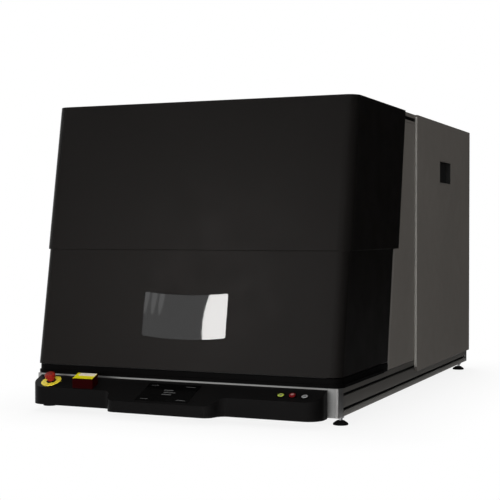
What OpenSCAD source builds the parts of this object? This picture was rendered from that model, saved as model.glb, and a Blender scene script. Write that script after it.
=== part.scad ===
// Enclosed laser marking machine with a sliding front hood.
//
// Machine axes: +X to the right of the operator, +Y to the back, +Z up, in millimetres.
// Inside the modules Y is 0 at the front rail's face and Z is 0 at the rails' underside;
// module machine() then moves everything so that the origin is on the floor,
// at the middle of the whole machine.

/* [Base frame] */
// Width of the base frame
frame_w = 953; // [930:1:970]
// Depth of the base frame
frame_d = 1546; // [1540:1:1600]
// Height of the base rails
rail_h = 80; // [78:1:82]
// Thickness of the base rails
rail_t = 40; // [38:1:42]
// Height of the levelling feet below the rails
foot_h = 24; // [20:1:30]

/* [Enclosure] */
// Height of the hood's top above the rails' underside
hood_top = 887.5; // [885:0.5:895]
// Angle that the hood's front leans back
hood_lean = 10; // [9.5:0.5:10.5]
// Width of the fixed upper cover
cover_w = 972.4; // [970:0.2:976]
// Depth of the upper cover's sides, measured level
cover_depth = 498; // [485:1:505]
// Height of the upper cover's lower edge
seam_z = 451; // [445:1:460]
// Depth of the rear side covers
rear_cover_y = 776; // [770:1:780]
// How far the rear side covers stand out from the base frame
rear_cover_out = 8; // [7:0.5:9]

/* [Door] */
// Width of the sliding door
door_w = 962.4; // [960:0.2:964]
// Depth of the door's sides, measured level
door_depth = 449; // [440:1:452]
// Height of the closed door's lower edge
door_z = 109; // [108:1:112]
// Wall thickness of the hood's shells
shell_t = 3; // [2:0.5:3]
// How far the door slides up
door_travel = 340; // [300:10:340]

/* [Window] */
// Width of the window
window_w = 267; // [220:1:300]
// Height of the window
window_h = 129; // [100:1:140]
// How far the window's upper and lower edges dip at the middle
window_dip = 8; // [0:1:12]

/* [Control console] */
// Width of the console
console_w = 906; // [894:1:910]
// Depth of the console at its ends
console_d = 70; // [66:1:74]
// How much further the middle stands out
console_step = 51; // [44:1:54]
// Slope of the console's top
console_tilt = 21; // [20:0.5:22]

/* [Hidden] */
$fn = 64;

// Base frame
half_w = frame_w / 2;
cap_t = 2.5;
rail_wall = 3;
rail_in = half_w - rail_t;
plate_t = 6;
floor_z = rail_h - 6;
foot_x = half_w - 11.5;
foot_y = 50;
foot_back_y = frame_d - 94;
pad_d = 42;
pad_rim = 4;
pad_h = 12;
stud_d = 12;
nut_d = 21;
nut_h = 5;

// T-slots of the extruded profiles: width of the mouth, then depth, lip and inner width
slot_w = 8;
wide_slot = [12.5, 4.5, 14];
narrow_slot = [9, 2.5, 11];

// Enclosure
top_t = 3;
frame_top = hood_top - top_t;
top_rail = 30;
top_rail_z = frame_top - top_rail;
post = 40;
cover_y0 = -28.5;
cover_r = 36;
door_y0 = cover_y0 + 5;
door_r = cover_r - 5;
door_top = 500;
panel_t = 3;
panel_x = half_w - panel_t;
rear_x = half_w + rear_cover_out;
rear_gap = 0.5;
rear_wall = 2;
rear_back_y = frame_d + 6;
rear_low_z = 43;
sheet_t = 2;
spigot_len = 50;
spigot_y = frame_d + sheet_t + spigot_len;
mid_y = (spigot_y - console_d - console_step) / 2;

// Recessed handles in the rear side covers
handle_y = 1078;
handle_l = 161;
handle_z = 674;
handle_h = 78;
handle_deep = 18;
handle_fit = 0.2;

// Sill under the door
sill_y = 4;
sill_w = 962;
sill_z = rail_h;
sill_h = 26;
sill_t = 15;
sill_end_y = 400;
sill_r = 30;

// Leaning guide posts and the door's running gear, in the door's leaning frame
post_w = 30;
post_front = 409;
post_back = 449;
guide_x = half_w - post_w / 2;
guide_w = 15;
guide_t = 12;
guide_low = 182;
guide_high = 928;
car_low = [200, 500];
car_l = 60;
lift_x = 448;
lift_y = 300;
lift_low = 142;
lift_high = 535;
lift_od = 32;
lift_id = 28;
rod_d = 12;
rod_end = 556;
run = 0.05;

// Window in the door's leaning frame
window_x = 2.5;
window_z = 270.5;
window_r = 7;
pane_t = 5.2;
pane_set_back = 0.8;
pane_flange = 12;
frame_flange = 20;

// Work table
table_z = 130;
table_t = 15;
table_x = 300;
table_y1 = 200;
table_y2 = 570;

// Inside
bulk_y = 690;
laser_w = 140;
laser_h = 140;
laser_y = 470;
laser_l = 680;
laser_z = 560;
lens_y = 400;
column_x = 130;
column_w = 80;
column_y = 580;
column_d = 100;
column_top = 780;
screw_x = 117;
screw_y = column_y + column_d / 2;
screw_d = 16;
journal_d = 12;
bearing_z = [84, 745];
z_rail_off = 35;
z_rail_w = 12;
duct_x = 260;
duct_z = 760;
duct_d = 100;
duct_wall = 1.5;
fan_x = -250;
fan_z = 650;
fan_size = 120;
fan_t = 38;
fan_bore = 114;
gland_x = -380;
gland_z = 150;
isolator_x = -290;
isolator_z = 150;

// Console
console_x = -9;
console_z = -3;
console_r = 46;
console_rear_z = 75.5;
console_mid_l = -150;
console_mid_r = 123;
console_step_w = 60;
console_wall = 3;
tray_t = 3;
pad_x = -6;
pad_w = 164;
pad_l = 103;
pad_mid = 66.5;
pad_t = 2;

// Emergency stop, its heights measured from the console's slope
estop_x = -406;
estop_s = 38.7;
estop_disc = 60;
estop_disc_t = 1.5;
estop_collar_t = 1;
estop_barrel = 22;
estop_low = 5.7;
estop_cap_z = 13.5;
estop_pin_top = 12.2;
estop_stem_d = 12;
estop_pin_d = 10;
estop_stem_low = -15;
estop_block_z = -12;

// Indicator lamp
lamp_x = -282;
lamp_w = 67;
lamp_front = 67;
lamp_rear = 34;
lamp_h = 26.5;

// Push buttons, their heights measured from the console's slope
button_x = [325, 359, 394];
button_s = 43.8;
button_barrel = 22;
button_l = 18;
button_stem = 12;
button_cap = 18;
button_well = 4;
bezel_d = 25;
bezel_h = 1.5;
barrel_fit = 0.4;

big = 2000;

// ---------- helpers ----------

// Moves the machine so that its origin is on the floor under its middle
module machine() {
    translate([0, -mid_y, foot_h]) children();
}

// A copy on the right and a mirrored copy on the left
module both_sides() {
    children();
    mirror([1, 0, 0]) children();
}

// The frame of a leaning wall: local Y is its depth and local Z runs up the slope
module leaning(y0) {
    translate([0, y0, 0]) rotate([-hood_lean, 0, 0]) children();
}

// A level slice of space between two heights
module slab(z1, z2) {
    translate([-big, -big, z1]) cube([2 * big, 2 * big + big, z2 - z1]);
}

// A box by its lowest and highest corners
module block(p, q) {
    translate(p) cube(q - p);
}

// Turns an outline of depth and height into a plate that faces along X
module side_plate(x, t) {
    translate([x, 0, 0]) rotate([90, 0, 90]) linear_extrude(t) children();
}

// Runs an outline of width and height along Y
module along_y(y1, y2) {
    translate([0, y2, 0]) rotate([90, 0, 0]) linear_extrude(y2 - y1) children();
}

// A round bar along Y
module bar_y(x, z, d, y1, y2) {
    translate([x, y1, z]) rotate([-90, 0, 0]) cylinder(d = d, h = y2 - y1);
}

// One T-slot whose mouth faces up, at the middle of the upper edge
module slot_cut(slot) {
    depth = slot[0];
    lip = slot[1];
    inner = slot[2];
    translate([-slot_w / 2, -depth]) square([slot_w, depth + 1]);
    translate([-inner / 2, -depth]) square([inner, depth - lip]);
}

// Section of an extruded profile with a T-slot in each division of each face
module slotted(w, h, nx, ny, slot) {
    difference() {
        square([w, h]);
        for (i = [0:nx - 1]) {
            x = (i + 0.5) * w / nx;
            translate([x, h]) slot_cut(slot);
            translate([x, 0]) rotate(180) slot_cut(slot);
        }
        for (i = [0:ny - 1]) {
            y = (i + 0.5) * h / ny;
            translate([w, y]) rotate(-90) slot_cut(slot);
            translate([0, y]) rotate(90) slot_cut(slot);
        }
    }
}

// Outline of a three-sided hood: straight sides, rounded front corners
module hood_outline(half, depth, r) {
    translate([-half, r]) square([2 * half, depth - r]);
    translate([r - half, 0]) square([2 * (half - r), depth]);
    for (s = [-1, 1]) translate([s * (half - r), r]) circle(r = r);
}

// A leaning three-sided shell between two heights
module hood_shell(y0, half, depth, r, z1, z2, z_inner) {
    difference() {
        intersection() {
            leaning(y0) linear_extrude(big) hood_outline(half, depth, r);
            slab(z1, z2);
        }
        intersection() {
            leaning(y0) translate([0, shell_t, 0]) linear_extrude(big)
                hood_outline(half - shell_t, depth + big, r - shell_t);
            slab(z1 - big, z_inner);
        }
    }
}

// Points of an arc from one angle to another
function arc(cx, cy, r, a1, a2, n = 10) =
    [for (i = [0:n]) [cx + r * cos(a1 + (a2 - a1) * i / n), cy + r * sin(a1 + (a2 - a1) * i / n)]];

// ---------- base frame ----------

module cross_rail(y) {
    x = half_w - cap_t;
    difference() {
        block([-x, y, 0], [x, y + rail_t, rail_h]);
        block([-x - 1, y + rail_wall, rail_wall], [x + 1, y + rail_t - rail_wall, rail_h - rail_wall]);
    }
}

module side_rail(sign) {
    x = sign > 0 ? rail_in : -half_w;
    along_y(rail_t, frame_d - rail_t) translate([x, 0]) slotted(rail_t, rail_h, 1, 2, wide_slot);
}

module front_rail() {
    color([0.62, 0.62, 0.61]) machine() cross_rail(0);
}

module rear_rail() {
    color([0.62, 0.62, 0.61]) machine() cross_rail(frame_d - rail_t);
}

module side_rail_left() {
    color([0.55, 0.53, 0.5]) machine() side_rail(-1);
}

module side_rail_right() {
    color([0.55, 0.53, 0.5]) machine() side_rail(1);
}

// Plain plates that close the ends of the front and rear rails
module rail_end_caps() {
    color([0.5, 0.49, 0.47]) machine() both_sides()
        for (y = [0, frame_d - rail_t])
            block([half_w - cap_t, y, 0], [half_w, y + rail_t, rail_h]);
}

// Slotted beams across the frame that carry the floor plate
module cross_members() {
    member = 40;
    color([0.6, 0.6, 0.6]) machine()
        for (y = [400, 1000])
            translate([-rail_in, y, floor_z - plate_t - member]) rotate([90, 0, 90])
                linear_extrude(2 * rail_in) slotted(member, member, 1, 1, wide_slot);
}

module at_feet() {
    both_sides() for (y = [foot_y, foot_back_y]) translate([foot_x, y, -foot_h]) children();
}

// Round pads that the machine stands on
module foot_pads() {
    color([0.05, 0.05, 0.05]) machine() at_feet() {
        cylinder(d = pad_d, h = pad_rim);
        translate([0, 0, pad_rim]) cylinder(d1 = pad_d - 2, d2 = stud_d + 8, h = pad_h - pad_rim);
    }
}

// Studs with their lock nuts, between the pads and the rails
module foot_studs() {
    color([0.75, 0.75, 0.75]) machine() at_feet() {
        translate([0, 0, pad_h]) cylinder(d = stud_d, h = foot_h - pad_h);
        translate([0, 0, foot_h - nut_h]) cylinder(d = nut_d, h = nut_h, $fn = 6);
    }
}

module base_plate() {
    gap = 0.5;
    color([0.5, 0.5, 0.5]) machine()
        block([gap - rail_in, rail_t + gap, floor_z - plate_t],
              [rail_in - gap, frame_d - rail_t - gap, floor_z]);
}

// Black surround under the door
module sill() {
    color([0.03, 0.03, 0.03]) machine() difference() {
        translate([0, sill_y, sill_z]) linear_extrude(sill_h)
            hood_outline(sill_w / 2, sill_end_y - sill_y, sill_r);
        translate([0, sill_y + sill_t, sill_z - 1]) linear_extrude(sill_h + 2)
            hood_outline(sill_w / 2 - sill_t, sill_end_y, sill_r - sill_t);
    }
}

// ---------- upper frame ----------

// Leaning slotted posts beside the door, one on each side
module guide_posts() {
    color([0.55, 0.54, 0.52]) machine() both_sides() intersection() {
        leaning(door_y0) translate([half_w - post_w, post_front, 0]) linear_extrude(big)
            slotted(post_w, post_back - post_front, 1, 1, narrow_slot);
        slab(rail_h, top_rail_z);
    }
}

// Slotted posts in the middle and at the back
module upright_posts() {
    color([0.6, 0.6, 0.6]) machine() both_sides()
        for (y = [rear_cover_y, frame_d - post])
            translate([half_w - post, y, rail_h]) linear_extrude(top_rail_z - rail_h)
                slotted(post, post, 1, 1, wide_slot);
}

// Two long slotted rails at the top and three between them
module top_rails() {
    y1 = 150;
    y2 = frame_d - 0.5;
    x = half_w - top_rail;
    color([0.58, 0.57, 0.55]) machine() {
        both_sides() along_y(y1, y2) translate([x, top_rail_z])
            slotted(top_rail, top_rail, 1, 1, narrow_slot);
        for (y = [y1, rear_cover_y, y2 - top_rail])
            translate([-x, y, top_rail_z]) rotate([90, 0, 90]) linear_extrude(2 * x)
                slotted(top_rail, top_rail, 1, 1, narrow_slot);
    }
}

// ---------- covers ----------

module upper_cover() {
    color([0.12, 0.12, 0.12]) machine()
        hood_shell(cover_y0, cover_w / 2, cover_depth * cos(hood_lean), cover_r,
                   seam_z, hood_top, hood_top - top_t);
}

// Side sheet between the guide post and the rear cover
module front_panel(sign) {
    gap = 0.5;
    front = door_y0 + post_back / cos(hood_lean) + gap;
    z1 = rail_h + gap;
    z2 = top_rail_z - gap;
    back = rear_cover_y - gap;
    side_plate(sign > 0 ? panel_x : -half_w, panel_t)
        polygon([[front + z1 * tan(hood_lean), z1], [back, z1],
                 [back, z2], [front + z2 * tan(hood_lean), z2]]);
}

module front_panel_left() {
    color([0.3, 0.28, 0.26]) machine() front_panel(-1);
}

module front_panel_right() {
    color([0.3, 0.28, 0.26]) machine() front_panel(1);
}

// Shallow tray that closes the rear part of a side, cut out for its handle
module rear_cover(sign) {
    x = half_w + rear_gap;
    z2 = frame_top + 2;
    mirror([sign > 0 ? 0 : 1, 0, 0]) difference() {
        block([x, rear_cover_y, rear_low_z], [rear_x, rear_back_y, z2]);
        block([x - 1, rear_cover_y + rear_wall, rear_low_z + rear_wall],
              [rear_x - rear_wall, rear_back_y - rear_wall, z2 - rear_wall]);
        block([x - 1, handle_y, handle_z], [rear_x + 1, handle_y + handle_l, handle_z + handle_h]);
    }
}

module rear_cover_left() {
    color([0.3, 0.28, 0.26]) machine() rear_cover(-1);
}

module rear_cover_right() {
    color([0.3, 0.28, 0.26]) machine() rear_cover(1);
}

// Recessed grips let into the rear side covers
module handle_cups() {
    wall = 2;
    color([0.04, 0.04, 0.04]) machine() both_sides() difference() {
        block([rear_x - handle_deep - wall, handle_y + handle_fit, handle_z + handle_fit],
              [rear_x, handle_y + handle_l - handle_fit, handle_z + handle_h - handle_fit]);
        block([rear_x - handle_deep, handle_y + handle_fit + wall, handle_z + handle_fit + wall],
              [rear_x + 1, handle_y + handle_l - handle_fit - wall,
               handle_z + handle_h - handle_fit - wall]);
    }
}

module top_cover() {
    front = cover_y0 + cover_depth + hood_top * tan(hood_lean) + 2;
    color([0.3, 0.28, 0.26]) machine()
        block([-half_w, front, frame_top], [half_w, frame_d, frame_top + sheet_t]);
}

// Back sheet with the fan's slots, an air inlet and the holes for its fittings
module rear_panel() {
    z1 = rail_h + 0.5;
    w = half_w - 0.5;
    color([0.3, 0.28, 0.26]) machine() difference() {
        block([-w, frame_d, z1], [w, frame_d + sheet_t, frame_top - 0.5]);
        bar_y(duct_x, duct_z, duct_d - 2 * duct_wall, frame_d - 1, frame_d + sheet_t + 1);
        bar_y(gland_x, gland_z, 25, frame_d - 1, frame_d + sheet_t + 1);
        bar_y(isolator_x, isolator_z, 30, frame_d - 1, frame_d + sheet_t + 1);
        for (i = [-3:3]) {
            chord = 2 * sqrt(pow(fan_bore / 2 - 4, 2) - pow(i * 14, 2));
            block([fan_x - chord / 2, frame_d - 1, fan_z + i * 14 - 3],
                  [fan_x + chord / 2, frame_d + sheet_t + 1, fan_z + i * 14 + 3]);
        }
        for (i = [0:6]) block([-100, frame_d - 1, 150 + i * 14], [100, frame_d + sheet_t + 1, 156 + i * 14]);
    }
}

// ---------- rear fittings ----------

// Tube that carries fumes from the chamber to the back
module extraction_duct() {
    color([0.6, 0.6, 0.62]) machine() difference() {
        bar_y(duct_x, duct_z, duct_d, bulk_y - 10, frame_d);
        bar_y(duct_x, duct_z, duct_d - 2 * duct_wall, bulk_y - 11, frame_d + 1);
    }
}

// Flanged spigot for the extraction hose
module extraction_spigot() {
    y = frame_d + sheet_t;
    color([0.65, 0.65, 0.66]) machine() difference() {
        union() {
            bar_y(duct_x, duct_z, 136, y, y + 3);
            bar_y(duct_x, duct_z, duct_d, y, spigot_y);
        }
        bar_y(duct_x, duct_z, duct_d - 2 * duct_wall, y - 1, spigot_y + 1);
    }
}

// Gland where a mains lead enters
module mains_gland() {
    y = frame_d + sheet_t;
    color([0.08, 0.08, 0.08]) machine() difference() {
        union() {
            bar_y(gland_x, gland_z, 24.6, y - 14, y);
            translate([gland_x, y, gland_z]) rotate([-90, 0, 0]) cylinder(d = 35, h = 7, $fn = 6);
            bar_y(gland_x, gland_z, 28, y + 7, y + 24);
        }
        bar_y(gland_x, gland_z, 13, y - 15, y + 25);
    }
}

// Body and face plate of the mains isolator
module isolator_base() {
    y = frame_d + sheet_t;
    color([0.85, 0.75, 0.1]) machine() difference() {
        union() {
            block([isolator_x - 32, y, isolator_z - 32], [isolator_x + 32, y + 8, isolator_z + 32]);
            bar_y(isolator_x, isolator_z, 29.4, y - 10, y);
            block([isolator_x - 25, y - 48, isolator_z - 25], [isolator_x + 25, y - 10, isolator_z + 25]);
        }
        bar_y(isolator_x, isolator_z, 8 + 2 * run, y - 4, y + 9);
    }
}

module isolator_knob() {
    y = frame_d + sheet_t;
    color([0.7, 0.08, 0.06]) machine() {
        bar_y(isolator_x, isolator_z, 8, y - 3, y + 9);
        bar_y(isolator_x, isolator_z, 42, y + 8.5, y + 15);
        block([isolator_x - 7, y + 15, isolator_z - 24], [isolator_x + 7, y + 30, isolator_z + 24]);
    }
}

// Square fan housing with the fixed part of its motor on four arms
module fan_frame() {
    y2 = frame_d - 0.1;
    y1 = y2 - fan_t;
    hub = 44;
    color([0.05, 0.05, 0.05]) machine() difference() {
        union() {
            difference() {
                block([fan_x - fan_size / 2, y1, fan_z - fan_size / 2],
                      [fan_x + fan_size / 2, y2, fan_z + fan_size / 2]);
                bar_y(fan_x, fan_z, fan_bore, y1 - 1, y2 + 1);
            }
            intersection() {
                bar_y(fan_x, fan_z, fan_bore + 1, y2 - 6, y2);
                for (a = [45, 135]) translate([fan_x, y2 - 6, fan_z]) rotate([0, a, 0])
                    block([-fan_size, 0, -3], [fan_size, 6, 3]);
            }
            bar_y(fan_x, fan_z, hub, y2 - 6, y2);
        }
        bar_y(fan_x, fan_z, 6 + 2 * run, y2 - 7, y2 + 1);
    }
}

// Turning hub with seven set blades
module fan_rotor() {
    y2 = frame_d - 7;
    y1 = frame_d - fan_t + 3;
    blades = 7;
    color([0.08, 0.08, 0.08]) machine() {
        bar_y(fan_x, fan_z, 42, y1, y2);
        bar_y(fan_x, fan_z, 6, y2 - 1, frame_d - 0.5);
        for (i = [0:blades - 1])
            translate([fan_x, (y1 + y2) / 2, fan_z]) rotate([0, i * 360 / blades, 0])
                translate([19, 0, 0]) rotate([38, 0, 0])
                    block([0, -1, -15], [36, 1, 15]);
    }
}

// ---------- inside the enclosure ----------

// Wall between the work chamber and the rear compartment
module bulkhead() {
    slot_half = 80;
    color([0.45, 0.45, 0.45]) machine() difference() {
        union() {
            block([-panel_x + 0.5, bulk_y, rail_h + 0.5], [panel_x - 0.5, bulk_y + 3, top_rail_z - 0.5]);
            block([-rail_in + 0.5, bulk_y, floor_z], [rail_in - 0.5, bulk_y + 3, rail_h + 0.5]);
        }
        block([-slot_half, bulk_y - 1, 290], [slot_half, bulk_y + 4, 720]);
        bar_y(duct_x, duct_z, duct_d + 0.6, bulk_y - 1, bulk_y + 4);
    }
}

// Tooling plate with a grid of fixing holes
module work_table() {
    pitch = 90;
    hole_d = 6;
    color([0.62, 0.62, 0.63]) machine() difference() {
        block([-table_x, table_y1, table_z], [table_x, table_y2, table_z + table_t]);
        for (i = [-3:3], j = [-1.5:1:1.5])
            translate([i * pitch, (table_y1 + table_y2) / 2 + j * pitch, table_z - 1])
                cylinder(d = hole_d, h = table_t + 2);
    }
}

module table_legs() {
    leg = 40;
    color([0.6, 0.6, 0.6]) machine()
        for (x = [-table_x + 10, table_x - leg - 10], y = [table_y1 + 10, table_y2 - leg - 10])
            block([x, y, floor_z], [x + leg, y + leg, table_z]);
}

// Upright of the height axis, with the screw's two bearing blocks
module z_column() {
    wall = 6;
    y1 = screw_y - 15;
    y2 = screw_y + 15;
    color([0.62, 0.62, 0.63]) machine() {
        difference() {
            block([column_x, column_y, floor_z], [column_x + column_w, column_y + column_d, column_top]);
            block([column_x + wall, column_y + wall, floor_z - 1],
                  [column_x + column_w - wall, column_y + column_d - wall, column_top + 1]);
        }
        for (z = bearing_z) difference() {
            block([screw_x - 11, y1, z], [column_x + 1, y2, z + 20]);
            translate([screw_x, screw_y, z - 1]) cylinder(d = journal_d + 2 * run, h = 22);
        }
    }
}

// Motor on its plate at the top of the column
module z_motor() {
    color([0.1, 0.1, 0.1]) machine() difference() {
        union() {
            block([screw_x - 32, column_y, column_top], [column_x + column_w, column_y + column_d, column_top + 6]);
            block([screw_x - 28, screw_y - 28, column_top + 6], [screw_x + 28, screw_y + 28, column_top + 66]);
        }
        translate([screw_x, screw_y, column_top - 1]) cylinder(d = journal_d + 2 * run, h = 23);
    }
}

// Lead screw; its thread is left plain
module z_screw() {
    color([0.75, 0.75, 0.77]) machine() translate([screw_x, screw_y, 0]) {
        translate([0, 0, 104.5]) cylinder(d = screw_d, h = 640);
        translate([0, 0, 86]) cylinder(d = journal_d, h = 19);
        translate([0, 0, 744]) cylinder(d = journal_d, h = column_top + 20 - 744);
    }
}

// Ground rails of the height axis and of the door
module linear_rails() {
    color([0.75, 0.75, 0.77]) machine() {
        for (s = [-1, 1])
            block([column_x - z_rail_w, screw_y + s * z_rail_off - z_rail_w / 2, 110],
                  [column_x, screw_y + s * z_rail_off + z_rail_w / 2, 740]);
        both_sides() leaning(door_y0)
            block([guide_x - guide_w / 2, post_front - guide_t, guide_low],
                  [guide_x + guide_w / 2, post_front, guide_high]);
    }
}

// Cylinders that raise the door, on blocks that stand on the side rails
module lift_cylinders() {
    color([0.5, 0.5, 0.52]) machine() both_sides() {
        intersection() {
            leaning(door_y0) block([lift_x - 14, lift_y - 15, lift_low - 40],
                                   [lift_x + 14, lift_y + 15, lift_low]);
            slab(rail_h, rail_h + 60);
        }
        leaning(door_y0) translate([lift_x, lift_y, 0]) difference() {
            translate([0, 0, lift_low]) cylinder(d = lift_od, h = lift_high - lift_low);
            translate([0, 0, lift_low + 8]) cylinder(d = lift_id, h = lift_high - lift_low - 23);
            translate([0, 0, lift_low + 8]) cylinder(d = rod_d + 2 * run, h = big);
        }
    }
}

// Light bars under the top rails
module light_bars() {
    color([0.9, 0.9, 0.88]) machine() both_sides()
        block([half_w - 26.5, 200, top_rail_z - 8], [half_w - 6.5, 500, top_rail_z]);
}

// Power supply on the right and control unit on the left, as open-bottomed cases
module electronics_boxes() {
    module case_box(p, q) {
        wall = 2;
        difference() {
            block(p, q);
            block([p[0] + wall, p[1] + wall, p[2] - 1], [q[0] - wall, q[1] - wall, q[2] - wall]);
        }
    }
    color([0.4, 0.4, 0.42]) machine() {
        case_box([180, 1000, floor_z], [420, 1350, floor_z + 150]);
        case_box([-420, 900, floor_z], [-160, 1350, floor_z + 190]);
    }
}

// ---------- door ----------

// Points of the window's outline, enlarged by a margin: a rounded rectangle bent downwards
function window_points(grow) =
    let (a = window_w / 2 + grow, b = window_h / 2 + grow, r = max(window_r + grow, 2), n = 16)
    let (flat = concat(
        arc(a - r, b - r, r, 0, 90, 6),
        [for (i = [1:n - 1]) [(a - r) * (1 - 2 * i / n), b]],
        arc(r - a, b - r, r, 90, 180, 6),
        arc(r - a, r - b, r, 180, 270, 6),
        [for (i = [1:n - 1]) [(r - a) * (1 - 2 * i / n), -b]],
        arc(a - r, r - b, r, 270, 360, 6)))
    [for (p = flat) [p[0], p[1] - window_dip * (1 - pow(2 * p[0] / window_w, 2))]];

// A plate with the window's outline, between two depths in the door's leaning frame
module window_plate(grow, y1, y2) {
    translate([window_x, y2, window_z]) rotate([90, 0, 0]) linear_extrude(y2 - y1)
        polygon(window_points(grow));
}

module door_shell() {
    flange = 30;
    color([0.12, 0.12, 0.12]) machine() difference() {
        union() {
            hood_shell(door_y0, door_w / 2, door_depth * cos(hood_lean), door_r,
                       door_z, door_top, door_top + 1);
            intersection() {
                leaning(door_y0) block([20 - door_w / 2, shell_t / 2, 0], [door_w / 2 - 20, flange, big]);
                slab(door_z, door_z + shell_t);
            }
        }
        leaning(door_y0) window_plate(0, -5, shell_t + 5);
    }
}

// Tinted pane, stepped so that it fills the opening and bears on the shell's inside
module window_pane() {
    color([0.3, 0.3, 0.3, 0.6]) machine() leaning(door_y0) {
        window_plate(-0.4, pane_set_back, pane_set_back + pane_t);
        window_plate(pane_flange, shell_t, pane_set_back + pane_t);
    }
}

// Ring that holds the pane from inside
module window_frame() {
    y = pane_set_back + pane_t;
    color([0.08, 0.08, 0.08]) machine() leaning(door_y0) difference() {
        window_plate(frame_flange, y, y + 4);
        window_plate(0, y - 1, y + 5);
    }
}

// Four carriages on the door's rails, with the brackets that carry the door
module door_carriages() {
    fit = 0.2;
    y1 = post_front - guide_t - 10;
    y2 = post_front - 4;
    color([0.35, 0.35, 0.37]) machine() both_sides() leaning(door_y0)
        for (z = car_low) {
            difference() {
                block([half_w - post_w, y1, z], [half_w - 0.5, y2, z + car_l]);
                block([guide_x - guide_w / 2 - fit, post_front - guide_t - fit, z - 1],
                      [guide_x + guide_w / 2 + fit, y2 + 1, z + car_l + 1]);
            }
            block([half_w - post_w, y1 - 4, z], [door_w / 2 - shell_t, y1, z + car_l]);
            block([door_w / 2 - shell_t - 4, y1 - 44, z], [door_w / 2 - shell_t, y1 - 4, z + car_l]);
        }
}

// Rods of the lift cylinders, each with its piston and the arm that it lifts the door by
module lift_rods() {
    color([0.75, 0.75, 0.77]) machine() both_sides() leaning(door_y0) {
        translate([lift_x, lift_y, lift_low + 18]) cylinder(d = rod_d, h = rod_end - lift_low - 18);
        translate([lift_x, lift_y, lift_low + 8.5]) cylinder(d = lift_id - 2 * run, h = 10);
        block([lift_x - 7, lift_y - 8, rod_end - 13], [door_w / 2 - shell_t, lift_y + 8, rod_end]);
    }
}

// Strip under the door's lower flange
module door_seal() {
    color([0.02, 0.02, 0.02]) machine() intersection() {
        leaning(door_y0) block([-440, 10, 0], [440, 26, big]);
        slab(sill_z + sill_h + 0.3, door_z);
    }
}

// ---------- height axis ----------

// Plate with four rail blocks, the nut and the arm that carries the laser
module z_carriage() {
    fit = 0.2;
    x1 = 104;
    z1 = laser_z - 20;
    z2 = laser_z + 160;
    color([0.5, 0.5, 0.52]) machine() {
        block([x1 - 12, column_y, z1], [x1, column_y + column_d, z2]);
        for (s = [-1, 1], z = [z1 + 5, z2 - 45]) {
            y = screw_y + s * z_rail_off;
            difference() {
                block([x1, y - 13, z], [column_x - 4, y + 13, z + 40]);
                block([column_x - z_rail_w - fit, y - z_rail_w / 2 - fit, z - 1],
                      [column_x, y + z_rail_w / 2 + fit, z + 41]);
            }
        }
        difference() {
            block([x1, screw_y - 14, z1 + 70], [column_x - 1, screw_y + 14, z1 + 110]);
            translate([screw_x, screw_y, z1 + 60]) cylinder(d = screw_d + 2 * run, h = 60);
        }
        block([laser_w / 2, column_y + 15, z1 + 60], [x1 - 12, column_y + column_d - 15, z1 + 120]);
    }
}

// Finned laser tube housing
module laser_source() {
    fins = 6;
    fin_pitch = 20;
    depth = 12;
    color([0.2, 0.2, 0.22]) machine() difference() {
        block([-laser_w / 2, laser_y, laser_z], [laser_w / 2, laser_y + laser_l, laser_z + laser_h]);
        for (i = [0:fins - 1]) {
            x = (i - (fins - 1) / 2) * fin_pitch;
            block([x - 5, laser_y + 30, laser_z + laser_h - depth],
                  [x + 5, laser_y + laser_l - 30, laser_z + laser_h + 1]);
            block([x - 5, laser_y + 30, laser_z - 1], [x + 5, laser_y + laser_l - 30, laser_z + depth]);
        }
    }
}

// Housing of the two steering mirrors, with their motors
module scan_head() {
    y1 = lens_y - 60;
    color([0.08, 0.08, 0.09]) machine() {
        block([-60, y1, laser_z], [60, laser_y, laser_z + 130]);
        bar_y(0, laser_z + 85, 36, y1 - 34, y1);
        translate([-94, lens_y, laser_z + 55]) rotate([0, 90, 0]) cylinder(d = 36, h = 35);
    }
}

// Lens barrel under the scan head
module scan_lens() {
    color([0.1, 0.1, 0.12]) machine() translate([0, lens_y, laser_z - 40]) difference() {
        union() {
            translate([0, 0, 30]) cylinder(d = 104, h = 10);
            cylinder(d1 = 84, d2 = 92, h = 30);
        }
        translate([0, 0, -36]) sphere(d = 96);
    }
}

// ---------- control console ----------

// Plan of the console, drawn in by a margin: round ends and a stepped-out middle
function console_points(in) =
    let (half = console_w / 2,
         turn = 2 * atan(console_step / console_step_w),
         r = console_step_w / 2 / sin(turn),
         outer = r - in,
         inner = r + in,
         y_end = -console_d,
         y_mid = -console_d - console_step,
         l = console_mid_l,
         m = console_mid_r)
    concat(
        [[console_x - half + in, 0]],
        arc(console_x - half + console_r, y_end + console_r, console_r - in, 180, 270, 12),
        arc(l - console_step_w, y_end - r, inner, 90, 90 - turn, 8),
        arc(l, y_mid + r, outer, 270 - turn, 270, 8),
        arc(m, y_mid + r, outer, 270, 270 + turn, 8),
        arc(m + console_step_w, y_end - r, inner, 90 + turn, 90, 8),
        arc(console_x + half - console_r, y_end + console_r, console_r - in, 270, 360, 12),
        [[console_x + half - in, 0]]);

// Space under the console's sloping top, lowered by a margin
module under_slope(lower) {
    z = console_rear_z - lower / cos(console_tilt);
    drop = 300 * tan(console_tilt);
    side_plate(-big, 2 * big) polygon([[-300, -big], [0, -big], [0, z], [-300, z - drop]]);
}

// Places a fitting on the sloping top: x across, s down the slope from its rear edge
module on_console(x, s) {
    translate([x, -s * cos(console_tilt), console_rear_z - s * sin(console_tilt)])
        rotate([console_tilt, 0, 0]) children();
}

module pad_block(extra, z1, z2) {
    on_console(pad_x, pad_mid)
        block([-pad_w / 2 - extra, -pad_l / 2 - extra, z1], [pad_w / 2 + extra, pad_l / 2 + extra, z2]);
}

// Hole for a fitting's barrel through the console's sloping wall
module barrel_hole(d) {
    translate([0, 0, -10]) cylinder(d = d + barrel_fit, h = 20);
}

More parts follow.
